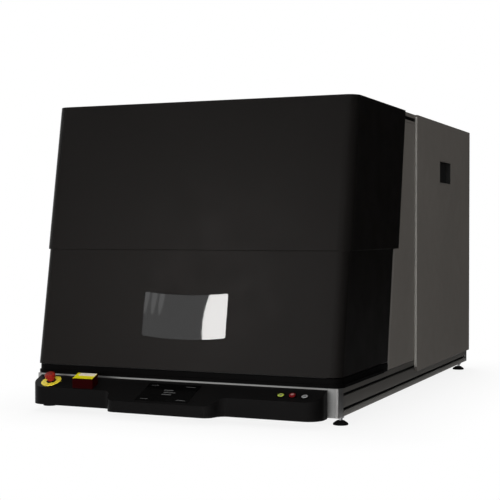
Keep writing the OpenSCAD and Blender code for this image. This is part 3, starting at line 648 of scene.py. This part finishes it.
for node in ("front_rail", "rear_rail"):
    low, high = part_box(node)
    short = Vector((CAP_LONG, 0, 0))
    rail = block(node + "_tube", low + short, high - short)
    edit(rail)
    delete_faces(lambda face: abs(face.normal.x) > 0.9)
    done()
    thicken(rail, RAIL_WALL)
    dress(polish(rail, 0.0009), "rail_front", node)

# %% [markdown]
# Black cover strips close the slots of the outer rails. On the side rails they lie behind the
# slot's lips, and on the top rails over them. Many pieces come in such pairs, so a helper makes a
# block on either side of the machine.
# %% Slot covers
STRIP_THICK = 0.0015
STRIP_SHORT = 0.001


def side_block(name, side, inner, outer, low, high):
    """A block on the side 1 or -1; inner and outer are its distances from the middle."""
    near_x, far_x = sorted((side * inner, side * outer))
    return block(name, (near_x, *low), (far_x, *high))


strips = []
for node, heights, deep, tall in (("side_rail_right", (0.25, 0.75), 0.0048, 0.0136),
                                  ("top_rails", (0.45,), -0.0003, 0.0106)):
    low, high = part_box(node)
    outer = high.x - deep
    for side in (1, -1):
        for part in heights:
            z = low.z + part * (high.z - low.z)
            strips.append(side_block("strip", side, outer - STRIP_THICK, outer,
                                     (low.y + STRIP_SHORT, z - tall / 2),
                                     (high.y - STRIP_SHORT, z + tall / 2)))
dress(polish(join("slot_covers", *strips), 0.0004), "black_trim")

# %% [markdown]
# The four end caps make the rounded corners of the base. The upright outer edge of each is
# bevelled. A shallow sunk field, made by an inset, leaves a rim around its side.
# %% Rail end caps
CAP_CORNER = 0.004
CAP_RIM = 0.0035
CAP_SINK = 0.0004

low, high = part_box("rail_end_caps")
front_low, front_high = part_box("front_rail")
rear_near = high.y - (front_high.y - front_low.y)
caps = []
for side in (1, -1):
    for y, back, outward in ((low.y, front_high.y, low.y), (rear_near, high.y, high.y)):
        cap = side_block("rail_cap", side, front_high.x - CAP_LONG, high.x,
                         (y, low.z), (back, high.z))
        edit(cap)
        bevel_edges(lambda middle, span: near(middle.x, side * high.x) and near(middle.y, outward),
                    CAP_CORNER, 8)
        pick("FACE", lambda face: face.normal.x * side > 0.999)
        bpy.ops.mesh.inset(thickness=CAP_RIM)
        bpy.ops.transform.translate(value=(-side * CAP_SINK, 0, 0))
        done()
        caps.append(cap)
dress(polish(join("rail_caps", *caps), 0.0005), "end_cap", "rail_end_caps")

# %% [markdown]
# ## The levelling feet
# A foot is a rubber pad with a domed top, and a threaded stud with a lock nut. The pad is a short
# cylinder whose top face is extruded and scaled in three times. The thread is a stack of thin
# rings made in the same way.
# %% Feet
PAD_R = 0.021
PAD_BASE = 0.004
PAD_TIERS = ((0.001, 0.96), (0.0035, 0.76), (0.0035, 0.65))
STUD_R = 0.006
ROOT_R = STUD_R - 0.0006
STUD_START = 0.0004
NUT_R = 0.0105
NUT_H = 0.005
THREAD_PITCH = 0.00125


def top_z():
    return max(v.co.z for v in bmesh.from_edit_mesh(bpy.context.object.data).verts)


def grow_top(*tiers):
    """Extrudes the edited piece's top face and scales it in, once for each tier."""
    for rise, shrink in tiers:
        top = top_z()
        pick("FACE", lambda f: f.calc_center_median().z > top - TINY / 2 and f.normal.z > 0.5)
        bpy.ops.mesh.extrude_region_move(TRANSFORM_OT_translate={"value": (0, 0, rise)})
        bpy.ops.transform.resize(value=(shrink, shrink, 1))


pad_low, pad_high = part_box("foot_pads")
stud_low, stud_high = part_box("foot_studs")
nut_z = stud_high.z - NUT_H
pads = []
studs = []
for x in (pad_low.x + PAD_R, pad_high.x - PAD_R):
    for y in (pad_low.y + PAD_R, pad_high.y - PAD_R):
        pad = drum("foot_pad", PAD_R, pad_low.z, pad_low.z + PAD_BASE, 48, (x, y))
        edit(pad)
        grow_top(*PAD_TIERS)
        done()
        pads.append(pad)
        stud = drum("foot_stud", ROOT_R, stud_low.z, stud_low.z + STUD_START, 32, (x, y))
        edit(stud)
        while top_z() <= nut_z - THREAD_PITCH:
            grow_top((THREAD_PITCH / 2, STUD_R / ROOT_R), (THREAD_PITCH / 2, ROOT_R / STUD_R))
        grow_top((nut_z - top_z(), 1))
        done()
        nut = drum("foot_nut", NUT_R, nut_z, stud_high.z, 6, (x, y))
        polish(nut, 0.0006, 2)
        studs += [stud, nut]
dress(polish(join("foot_cushions", *pads), 0.0006, 2, 50), "foot_rubber", "foot_pads")
studs = join("foot_screws", *studs)
smooth(studs, 30)
dress(studs, "steel_bright", "foot_studs")

# %% [markdown]
# ## The hood's folded shells
# The upper cover, the door and the sill are the same kind of shape: a front and two sides with
# rounded corners between them. A block's top is slid back, which makes the front lean. Its two
# upright front edges are bevelled, the open sides are deleted, and the skin gets its wall.
# %% Folded shell
LEAN = math.radians(10)
CORNER_STEPS = 14


def folded_shell(name, low, high, radius, wall, lean, is_open):
    """A shell between two corners; is_open picks the faces to leave off by their normal."""
    back = (high.z - low.z) * math.tan(lean)
    piece = block(name, low, (high.x, high.y - back, high.z))
    front = low.y + back + TINY
    edit(piece)
    shift(lambda co: co.z > high.z - TINY, (0, back, 0))
    bevel_edges(lambda middle, span: abs(span.z) > TINY and middle.y < front, radius, CORNER_STEPS)
    delete_faces(lambda face: is_open(face.normal))
    done()
    thicken(piece, wall)
    return piece


# %% [markdown]
# ### The sill
# The black surround under the door is open above, below and behind. A low skirt runs round its
# foot, nearly 4 mm proud, and short wings of the same thickness carry its sides on.
# %% Sill
SILL_R = 0.03
SILL_WALL = 0.015
SKIRT_OUT = 0.0038
SKIRT_H = 0.01
SKIRT_R = 0.034
SKIRT_WALL = 0.005
WING_LONG = 0.049
WING_LAP = 0.001


def upright_ring(normal):
    return abs(normal.z) > 0.9 or normal.y > 0.9


low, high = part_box("sill")
sill = folded_shell("sill_surround", low, high, SILL_R, SILL_WALL, 0, upright_ring)
skirt = folded_shell("sill_skirt", low - Vector((SKIRT_OUT, SKIRT_OUT, 0)),
                     Vector((high.x + SKIRT_OUT, high.y, low.z + SKIRT_H)),
                     SKIRT_R, SKIRT_WALL, 0, upright_ring)
wings = [polish(side_block("wing", side, high.x - SKIRT_OUT, high.x,
                           (high.y - WING_LAP, low.z), (high.y + WING_LONG, high.z)), 0.0009)
         for side in (1, -1)]
sill = join("sill_surround", polish(sill, 0.0015), polish(skirt, 0.0009), *wings)
dress(sill, "black_trim", "sill")

# %% [markdown]
# ### The upper cover
# The fixed upper half of the hood is closed on top and open below and behind. Its edges are
# rounded just enough to catch a line of light.
# %% Upper cover
COVER_R = 0.036
HOOD_WALL = 0.003

cover = folded_shell("upper_hood", *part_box("upper_cover"), COVER_R, HOOD_WALL, LEAN,
                     lambda normal: normal.z < -0.9 or normal.y > 0.9)
dress(polish(cover, 0.0014), "hood_black", "upper_cover")

# %% [markdown]
# ## The window's outline
# The window is a rounded rectangle whose upper and lower edges dip in the middle. A block's
# corners are rounded, its long edges are subdivided into columns, and each column is lowered by a
# parabola. The same tool makes the opening, the pane and the frame. It is shaped upright at the
# origin, then tipped back to lie in the door.
# %% Window tool
WINDOW_W = 0.267
WINDOW_H = 0.129
WINDOW_DIP = 0.008
WINDOW_R = 0.007
WINDOW_UP = 0.1598
WINDOW_CUTS = 23
ROUND_TO = 6
SAME_X = 0.000002

door_low, door_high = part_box("door_shell")


def middle_x(node):
    low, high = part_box(node)
    return (low.x + high.x) / 2


def window_block(name, grow, near_y, far_y):
    """A block with the window's outline, grown by a margin, between two depths in the door."""
    half_w, half_h = WINDOW_W / 2 + grow, WINDOW_H / 2 + grow
    piece = block(name, (-half_w, near_y, -half_h), (half_w, far_y, half_h))
    edit(piece)
    bevel_edges(lambda middle, span: abs(span.y) > TINY, max(WINDOW_R + grow, 0.002), 6)
    pick("EDGE", lambda e: abs(e.verts[1].co.x - e.verts[0].co.x) > half_w)
    bpy.ops.mesh.subdivide(number_cuts=WINDOW_CUTS)
    columns = {round(v.co.x, ROUND_TO) for v in bmesh.from_edit_mesh(piece.data).verts}
    for x in sorted(columns):
        dip = WINDOW_DIP * (1 - (2 * x / WINDOW_W) ** 2)
        shift(lambda co: abs(co.x - x) < SAME_X, (0, 0, -dip))
    done()
    return stand(piece, (middle_x("window_pane"), door_low.y + WINDOW_UP * math.sin(LEAN),
                         door_low.z + WINDOW_UP * math.cos(LEAN)), -LEAN)


# %% [markdown]
# ### The door
# The door is the lower half of the hood. A flange is turned in along its lower edge, and the
# window is cut through its front.
# %% Door
DOOR_R = 0.031
FLANGE = 0.03
FLANGE_CLEAR = 0.02

door = folded_shell("door_panel", door_low, door_high, DOOR_R, HOOD_WALL, LEAN, upright_ring)
cut(door, block("flange", (door_low.x + FLANGE_CLEAR, door_low.y + HOOD_WALL * 0.9, door_low.z),
                (door_high.x - FLANGE_CLEAR, door_low.y + FLANGE, door_low.z + HOOD_WALL)), "UNION")
cut(door, window_block("opening", 0, -0.02, 0.02))
dress(polish(door, 0.0012, 3, 40), "hood_black", "door_shell", "door")

# %% [markdown]
# ### Pane, frame and gasket
# The pane is stepped: the middle fills the opening, and a wider flange bears on the inside. A thin
# rubber line fills the gap around it, and a ring holds it from inside.
# %% Pane, frame and gasket
PANE_NEAR = 0.0008
PANE_FAR = 0.006
PANE_GAP = 0.0008
PANE_FLANGE = 0.012
RING_WIDE = 0.02
RING_THICK = 0.004

pane = window_block("window_glass", -PANE_GAP, PANE_NEAR, HOOD_WALL + 0.0005)
cut(pane, window_block("wide", PANE_FLANGE, HOOD_WALL, PANE_FAR), "UNION")
dress(polish(pane, 0.0004, 2, 50), "tinted_glass", "window_pane", "door")

ring = window_block("window_ring", RING_WIDE, PANE_FAR, PANE_FAR + RING_THICK)
cut(ring, window_block("hole", 0, PANE_FAR - 0.01, PANE_FAR + 0.02))
dress(polish(ring, 0.001), "black_trim", "window_frame", "door")

gasket = window_block("window_gasket", -0.0001, 0.0006, HOOD_WALL)
cut(gasket, window_block("hole", -PANE_GAP, -0.01, 0.02))
dress(polish(gasket, 0), "seal_rubber", None, "door")

# %% [markdown]
# ## The side covers
# The front part of each side is a block whose upper front edge is slid back to follow the hood's
# lean. A narrow folded strip along that edge lies a little proud of the sheet, and its paint is a
# little lighter: a painted highlight for the thin lines of light along its edges.
# %% Front side panels
SHEET_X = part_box("front_panel_right")[1].x
FOLD_OUT = 0.0006
FOLD_W = 0.026

for side, name in ((1, "right"), (-1, "left")):
    node = "front_panel_" + name
    low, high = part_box(node)
    panel = block("front_side_sheet_" + name, low, high)
    fold = side_block("front_side_fold_" + name, side, SHEET_X, SHEET_X + FOLD_OUT,
                      (low.y, low.z), (low.y + FOLD_W, high.z))
    slide = (0, (high.z - low.z) * math.tan(LEAN), 0)
    for piece, moved_y in ((panel, low.y + TINY), (fold, high.y)):
        edit(piece)
        shift(lambda co: co.z > high.z - TINY and co.y < moved_y, slide)
        done()
    dress(polish(panel, 0.0006), "panel_grey", node)
    trim(polish(fold, 0.0002), "fold_painted_highlight")

# %% [markdown]
# The rear part is a shallow tray that stands out from the frame. Its inner face is deleted, the
# skin gets its wall, and a hole is cut for the handle. A strip painted much lighter than the cover
# is clipped over its front edge: painted light on that front face, which lies in the hood's shadow.
# %% Rear covers
TRAY_WALL = 0.002
EDGE_STRIP_OUT = 0.007
EDGE_STRIP_LAP = 0.0002
EDGE_STRIP_CLEAR = 0.0015
EDGE_STRIP_SHORT = 0.007
EDGE_STRIP_RAISED = 0.015
CUP_FIT = 0.0002

cup_low, cup_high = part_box("handle_cups")
for side, name in ((1, "right"), (-1, "left")):
    node = "rear_cover_" + name
    low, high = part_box(node)
    tray = block("rear_side_tray_" + name, low, high)
    edit(tray)
    delete_faces(lambda face: face.normal.x * side < -0.9)
    done()
    thicken(tray, TRAY_WALL)
    cut(tray, side_block("hole", side, 0.4, 0.6, (cup_low.y - CUP_FIT, cup_low.z - CUP_FIT),
                         (cup_high.y + CUP_FIT, cup_high.z + CUP_FIT)))
    dress(polish(tray, 0.0009), "panel_grey", node)
    # The strip's much lighter paint is painted light on the cover's front face, which the hood
    # keeps in shade.
    strip = side_block("rear_edge_painted_light_" + name, side, SHEET_X + EDGE_STRIP_LAP,
                       max(-low.x, high.x) - EDGE_STRIP_CLEAR, (low.y - EDGE_STRIP_OUT, low.z + EDGE_STRIP_RAISED),
                       (low.y + EDGE_STRIP_LAP, high.z - EDGE_STRIP_SHORT))
    trim(polish(strip, 0.0008), "edge_painted_light")

# %% [markdown]
# A handle is a recessed cup. The outer face of a block is inset to leave its rim, then pushed in
# and made a little narrower. The rim is painted like the cover, and the floor gets the darker
# rubber finish as painted shade at the bottom of the recess.
# %% Handle cups
CUP_DEEP = 0.018
CUP_WALL = 0.002
RIM_DEPTH = 0.0004
SHADED_FLOOR_DEPTH = CUP_DEEP - 0.0012

cups = []
for side in (1, -1):
    cup = side_block("cup", side, cup_high.x - CUP_DEEP - CUP_WALL, cup_high.x,
                     (cup_low.y, cup_low.z), (cup_high.y, cup_high.z))
    edit(cup)
    pick("FACE", lambda face: face.normal.x * side > 0.9)
    bpy.ops.mesh.inset(thickness=CUP_WALL)
    bpy.ops.mesh.extrude_region_move(TRANSFORM_OT_translate={"value": (-side * CUP_DEEP, 0, 0)})
    bpy.ops.transform.resize(value=(1, 0.985, 0.97))
    done()
    cups.append(cup)
cups = join("grip_cups", *cups)
dress(polish(cups, 0.0007), "handle_black", "handle_cups")
cups.data.materials.append(FINISHES["panel_grey"])
cups.data.materials.append(FINISHES["seal_rubber"])
# Faces near the cup's floor take the darker rubber, as painted shade at the bottom of the recess.
for face in cups.data.polygons:
    depth = cup_high.x - abs(face.center.x)
    face.material_index = 1 if depth < RIM_DEPTH else 2 if depth > SHADED_FLOOR_DEPTH else 0

# %% [markdown]
# ## Roof and back
# The roof is one sheet, held by flat screws along its sides. The rear panel has slots for the fan
# and for fresh air.
# %% Roof sheet and rear panel
ROOF_RIM = 0.012

roof_low, roof_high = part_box("top_cover")
roof = block("roof_sheet", roof_low, roof_high)
edit(roof)
pick("FACE", lambda face: face.normal.z > 0.9)
bpy.ops.mesh.inset(thickness=ROOF_RIM)
done()
dress(polish(roof, 0.0006), "panel_grey", "top_cover")
softened("rear_panel", 0.0004, "panel_grey")

# %% [markdown]
# A screw is a low cylinder with a rounded top and a six-sided recess.
# %% Screws
SCREW_R = 0.0045
SCREW_H = 0.0022
RECESS_R = 0.0017
RECESS_DEEP = 0.0012
SCREW_IN = 0.014
ROOF_IN = 0.03


def screw(place, turn_x):
    head = drum("screw", SCREW_R, -0.0005, 0.0008, 24)
    edit(head)
    grow_top((SCREW_H / 2, 0.86), (SCREW_H / 4, 0.72))
    done()
    cut(head, drum("recess", RECESS_R, SCREW_H - RECESS_DEEP, SCREW_H + 0.002, 6))
    return stand(head, place, turn_x)


def evenly(low, high, count):
    return [low + step * (high - low) / (count - 1) for step in range(count)]


back_low, back_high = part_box("rear_panel")
places = [((x, back_high.y, z), -math.pi / 2)
          for x in (back_low.x + SCREW_IN, back_high.x - SCREW_IN)
          for z in evenly(back_low.z + SCREW_IN, back_high.z - SCREW_IN, 5)]
places += [((x, y, roof_high.z), 0)
           for x in (roof_low.x + SCREW_IN, roof_high.x - SCREW_IN)
           for y in evenly(roof_low.y + ROOF_IN, roof_high.y - ROOF_IN, 4)]
screws = join("cover_screws", *[screw(*place) for place in places])
smooth(screws, 35)
dress(screws, "steel_bright")

# %% [markdown]
# ### Fittings on the back
# The hose spigot, the gland and the isolator keep their exact form, with rounded edges.
# %% Rear fittings
softened("extraction_spigot", 0.0006, "duct_metal")
softened("mains_gland", 0.0009, "black_trim", angle=40)
softened("isolator_base", 0.0015, "isolator_yellow")
softened("isolator_knob", 0.0018, "isolator_red", "isolator", segments=3)

# %% [markdown]
# ## The console
# Seen from above, the console's ends are shallow and round, and its middle stands further out,
# joined to the ends by two soft S-bends.
# %% Console plan
TILT = math.radians(21)
END_DEPTH = 0.07
STEP_WIDE = 0.06
MIDDLE_LEFT = -0.15
MIDDLE_RIGHT = 0.123

shell_low, shell_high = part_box("console_shell")
back = shell_high.y
STEP = back - shell_low.y - END_DEPTH
BEND_R = STEP_WIDE / 2 / math.sin(2 * math.atan(STEP / STEP_WIDE))


def console_depth(x):
    """How far the console's front stands out at x: two arcs make each S-bend."""
    across = min(max(MIDDLE_LEFT - x, x - MIDDLE_RIGHT, 0), STEP_WIDE)
    if across < STEP_WIDE / 2:
        drop = BEND_R - math.sqrt(BEND_R ** 2 - across ** 2)
    else:
        drop = STEP - BEND_R + math.sqrt(BEND_R ** 2 - (STEP_WIDE - across) ** 2)
    return END_DEPTH + STEP - drop


# %% [markdown]
# A block is cut into columns with bisect where the plan bends. The front of each column is pulled
# out by the plan's formula, and its top edge is lowered to the slope.
# %% Console body
CONSOLE_R = 0.046
CONSOLE_WALL = 0.003
BEND_STEPS = 20

console = block("console_body", (shell_low.x, back - END_DEPTH, shell_low.z),
                (shell_high.x, back, shell_high.z))
edit(console)
bends = [MIDDLE_LEFT - STEP_WIDE * (1 - math.cos(math.pi * i / BEND_STEPS)) / 2
         for i in range(BEND_STEPS + 1)]
bends += [MIDDLE_LEFT + MIDDLE_RIGHT - x for x in bends]
for x in bends:
    bpy.ops.mesh.select_all(action="SELECT")
    bpy.ops.mesh.bisect(plane_co=(x, 0, 0), plane_no=(1, 0, 0))
for x in bends + [shell_low.x, shell_high.x]:
    depth = console_depth(x)
    shift(lambda co: abs(co.x - x) < SAME_X and co.y < back - TINY, (0, END_DEPTH - depth, 0))
    shift(lambda co: abs(co.x - x) < SAME_X and co.y < back - TINY
          and co.z > shell_high.z - TINY, (0, 0, -depth * math.tan(TILT)))
bevel_edges(lambda middle, span: abs(span.z) > TINY and abs(span.y) < TINY
            and middle.y < back - TINY and near(middle.x, shell_low.x, shell_high.x),
            CONSOLE_R, CORNER_STEPS)
delete_faces(lambda face: face.normal.z < -0.9)
done()
thicken(console, CONSOLE_WALL)


# %% [markdown]
# Fittings on the console, and the tools that cut their recesses, are modelled flat at the origin
# and then laid on the slope.
# %% Places on the slope
PAD_W = 0.164
PAD_L = 0.103
PAD_GAP = 0.0003
PAD_SINK = 0.002
PAD_DOWN = 0.0665
STOP_DOWN = 0.0387
BUTTON_DOWN = 0.0438
HOLE_R = 0.0112


def on_slope(piece, x, down):
    """Lays a piece on the sloping top: x across, down along the slope from its rear edge."""
    place = (x, back - down * math.cos(TILT), shell_high.z - down * math.sin(TILT))
    return stand(piece, place, TILT)


stop_x = middle_x("estop_plate")
pad_x = middle_x("touch_pad")
recess = block("recess", (-PAD_W / 2 - PAD_GAP, -PAD_L / 2 - PAD_GAP, -PAD_SINK - PAD_GAP),
               (PAD_W / 2 + PAD_GAP, PAD_L / 2 + PAD_GAP, 0.02))
cut(console, on_slope(recess, pad_x, PAD_DOWN))
round_holes = [(stop_x, STOP_DOWN)]
round_holes += [(middle_x(color + "_button"), BUTTON_DOWN) for color in ("green", "red", "white")]
for x, down in round_holes:
    cut(console, on_slope(drum("hole", HOLE_R, -0.02, 0.02, 48), x, down))
dress(polish(console, 0.0022, 4, 42), "console_black", "console_shell")
softened("console_tray", 0.0006, "console_black")

# %% [markdown]
# ### The touch pad
# The pad is a flush sheet with a few faint bars: one near each corner and three in the middle.
# %% Touch pad
PAD_PROUD = 0.0002
MARK_THICK = 0.0001
MARKS = ((-0.0651, 0.0275, 0.022, 0.0024), (0.0472, 0.0278, 0.028, 0.0024),
         (-0.0635, 0.1057, 0.024, 0.0024), (0.0504, 0.1051, 0.028, 0.003),
         (-0.011, 0.0525, 0.03, 0.005), (-0.0035, 0.0645, 0.036, 0.005),
         (-0.0075, 0.0765, 0.03, 0.005))


def plate(name, low, high, radius):
    piece = block(name, low, high)
    edit(piece)
    bevel_edges(lambda middle, span: abs(span.z) > MARK_THICK / 2, radius, 4)
    done()
    return piece


pad = plate("pad_face", (-PAD_W / 2, -PAD_L / 2, -PAD_SINK),
            (PAD_W / 2, PAD_L / 2, PAD_PROUD), 0.002)
dress(polish(on_slope(pad, pad_x, PAD_DOWN), 0.0002, 2), "pad_black", "touch_pad")
marks = [on_slope(plate("mark", (-wide / 2, -tall / 2, PAD_PROUD),
                        (wide / 2, tall / 2, PAD_PROUD + MARK_THICK), tall * 0.45), x, down)
         for x, down, wide, tall in MARKS]
trim(join("pad_marks", *marks), "print_grey")

# %% [markdown]
# ### The emergency stop
# A yellow disc marks it. On it sit a collar and the red mushroom head, which is made from one
# cylinder: a narrow skirt, a step out, a tall grip and a slightly domed top. Eight shallow grooves
# around the grip let it be twisted.
# %% Emergency stop
DISC_R = 0.03
DISC_H = 0.0015
HEAD_R = 0.012
HEAD_Z = 0.0057
HEAD_TIERS = ((0.0076, 1.04), (0.0002, 1.22), (0.0084, 1.05), (0.0026, 0.94), (0.0014, 0.88),
              (0.0005, 0.6))
GROOVES = 8
GROOVE_R = 0.0045
GROOVE_OUT = 0.0196
BORE_R = 0.00505
BORE_TOP = 0.0122

disc = drum("stop_disc", DISC_R, 0, DISC_H, 96)
cut(disc, drum("hole", HOLE_R, -0.01, 0.01, 48))
dress(polish(on_slope(disc, stop_x, STOP_DOWN), 0.0004, 2), "estop_yellow", "estop_plate")
# The collar is painted near black, as a painted shadow ring at the foot of the head.
softened("estop_body", 0.0005, "estop_grey")
softened("estop_stem", 0.0004, "estop_red", "stop_plunger")

head = drum("stop_head", HEAD_R, HEAD_Z, HEAD_Z + 0.0001, 96)
edit(head)
grow_top(*HEAD_TIERS)
done()
turns = [2 * math.pi * (i + 0.5) / GROOVES for i in range(GROOVES)]
grooves = [drum("groove", GROOVE_R, 0.0125, 0.03, 24,
                (GROOVE_OUT * math.cos(turn), GROOVE_OUT * math.sin(turn))) for turn in turns]
cut(head, join("grooves", *grooves))
cut(head, drum("bore", BORE_R, 0.0, BORE_TOP, 32))
dress(polish(on_slope(head, stop_x, STOP_DOWN), 0.0006, 2), "estop_red", "estop_head", "stop_knob")

# %% [markdown]
# ### The indicator lamp
# The lamp is a red box with upright sides. Its top and its foot run with the slope, so the front
# corners of the top are lowered and the rear corners of the foot are raised. The top carries a
# plain yellow plate with a white field in its rear half.
# %% Indicator lamp
LAMP_H = 0.0265
LABEL_THICK = 0.0004
WHITE_THICK = 0.0002

lamp_low, lamp_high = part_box("lamp_box")
drop = (lamp_high.y - lamp_low.y) * math.tan(TILT)
lamp_body = block("lamp_lens", lamp_low, lamp_high)
edit(lamp_body)
shift(lambda co: co.z > lamp_high.z - TINY and co.y < lamp_low.y + TINY, (0, 0, -drop))
shift(lambda co: co.z < lamp_low.z + TINY and co.y > lamp_high.y - TINY, (0, 0, drop))
bevel_edges(lambda middle, span: abs(span.z) > TINY and abs(span.y) < TINY, 0.0012, 4)
done()
dress(polish(lamp_body, 0.0007), "lamp_red", "lamp_box")

LAMP_DOWN = (back - (lamp_low.y + lamp_high.y) / 2 - LAMP_H * math.sin(TILT)) / math.cos(TILT)
for name, left, right, near_y, far_y, z, thick in (
        ("label_yellow", -0.0328, 0.0325, -0.0168, 0.0165, LAMP_H, LABEL_THICK),
        ("label_white", -0.0225, 0.031, 0, 0.016, LAMP_H + LABEL_THICK, WHITE_THICK)):
    label = plate(name + "_plate", (left, near_y, z), (right, far_y, z + thick), 0.001)
    trim(on_slope(label, middle_x("lamp_box"), LAMP_DOWN), name)

# %% [markdown]
# ### Push buttons
# Each button is a coloured cap in a dark ring, with a sunk inlay in its middle; the red cap's
# pale pink inlay is a painted highlight. The three caps ride on their own bodies, because each is
# pressed by itself.
# %% Push buttons
CAP_R = 0.009
CAP_LOW = -0.0012
CAP_TIERS = ((0.0006, 0.97), (0.0004, 0.91))
INLAY_R = 0.005
INLAY_SINK = 0.0004
STEM_R = 0.006
STEM_LOW = -0.009

softened("button_bezels", 0.0006, "black_trim")
for color, body, top, centre_tone in (("green", "start_cap", 0.0025, (0.16, 0.17, 0.09)),
                                      # The red cap's pale pink centre tone is a painted highlight,
                                      # the glint in the middle of the cap.
                                      ("red", "halt_cap", 0.006, (0.26, 0.13, 0.125)),
                                      ("white", "light_cap", 0.0025, (0.09, 0.09, 0.09))):
    x = middle_x(color + "_button")
    cap = drum(color + "_cap", CAP_R, CAP_LOW, top - 0.001, 64)
    edit(cap)
    grow_top(*CAP_TIERS)
    pick("FACE", lambda face: face.normal.z > 0.9 and face.calc_center_median().z > top - 0.0003)
    bpy.ops.mesh.inset(thickness=CAP_R * 0.97 * 0.91 - INLAY_R)
    bpy.ops.transform.translate(value=(0, 0, -INLAY_SINK))
    done()
    cap = join(cap.name, cap, drum("stem", STEM_R, STEM_LOW, CAP_LOW + 0.0002, 48))
    cap = polish(on_slope(cap, x, BUTTON_DOWN), 0.0002, 2)
    dress(cap, "button_" + color, color + "_button", body)
    inlay = drum(color + "_inlay", INLAY_R * 0.96, top - 0.0006, top - 0.0002, 48)
    finish("inlay_" + color, "moulded_grain", centre_tone, 0.05, 0.3, 0.0, 1200)
    trim(polish(on_slope(inlay, x, BUTTON_DOWN), 0.0001, 2), "inlay_" + color, body)

# %% [markdown]
# ## What the window reflects
# A round lamp stands where the pane mirrors its edge towards the camera, so that a bright field
# with a curved border shows at the window's right. Three narrow upright lamps give faint streaks
# left of it. They are linked to the pane alone, and light nothing else.
# %% Window lamps
STREAK_PLACE = (-1.286, -2.833, 0.985)
STREAK_TARGET = (-0.1, -0.72, 0.3)
STREAK_SIZE = (0.026, 0.22)


def light_only(light, group_name, *pieces):
    """Lets a lamp light a group of pieces, with its reflection, and nothing else."""
    group = bpy.data.collections.get(group_name) or bpy.data.collections.new(group_name)
    for piece in pieces:
        group.objects.link(piece)
    light.visible_glossy = True
    light.light_linking.receiver_collection = group


card = lamp("window_card", (-0.503, -3.004, 0.846), (0.376, -0.735, 0.252), 1.0, 1.0, 34.5, "DISK")
card.data.color = (1.0, 0.985, 0.97)
light_only(card, "only_pane", pane)
for number, across in enumerate((-0.016, 0.024, 0.062)):
    place = Vector(STREAK_PLACE) + across * Vector((0.97, -0.24, 0))
    streak = lamp("window_streak_%d" % number, place, STREAK_TARGET, *STREAK_SIZE, 0.009, "ELLIPSE")
    light_only(streak, "only_pane")

# %% [markdown]
# The hood shows a broad sheen where it mirrors a soft light to the camera's left. This lamp gives
# that sheen to the cover and the door, and nothing else.
# %% Sheen lamp
sheen = lamp("sheen_lamp", (-1.5, -4.17, 1.5), (0.0, -0.65, 0.42), 1.0, 1.0, 16)
sheen.data.color = (1.0, 0.93, 0.9)
sheen.visible_diffuse = False
light_only(sheen, "only_hood", cover, door)
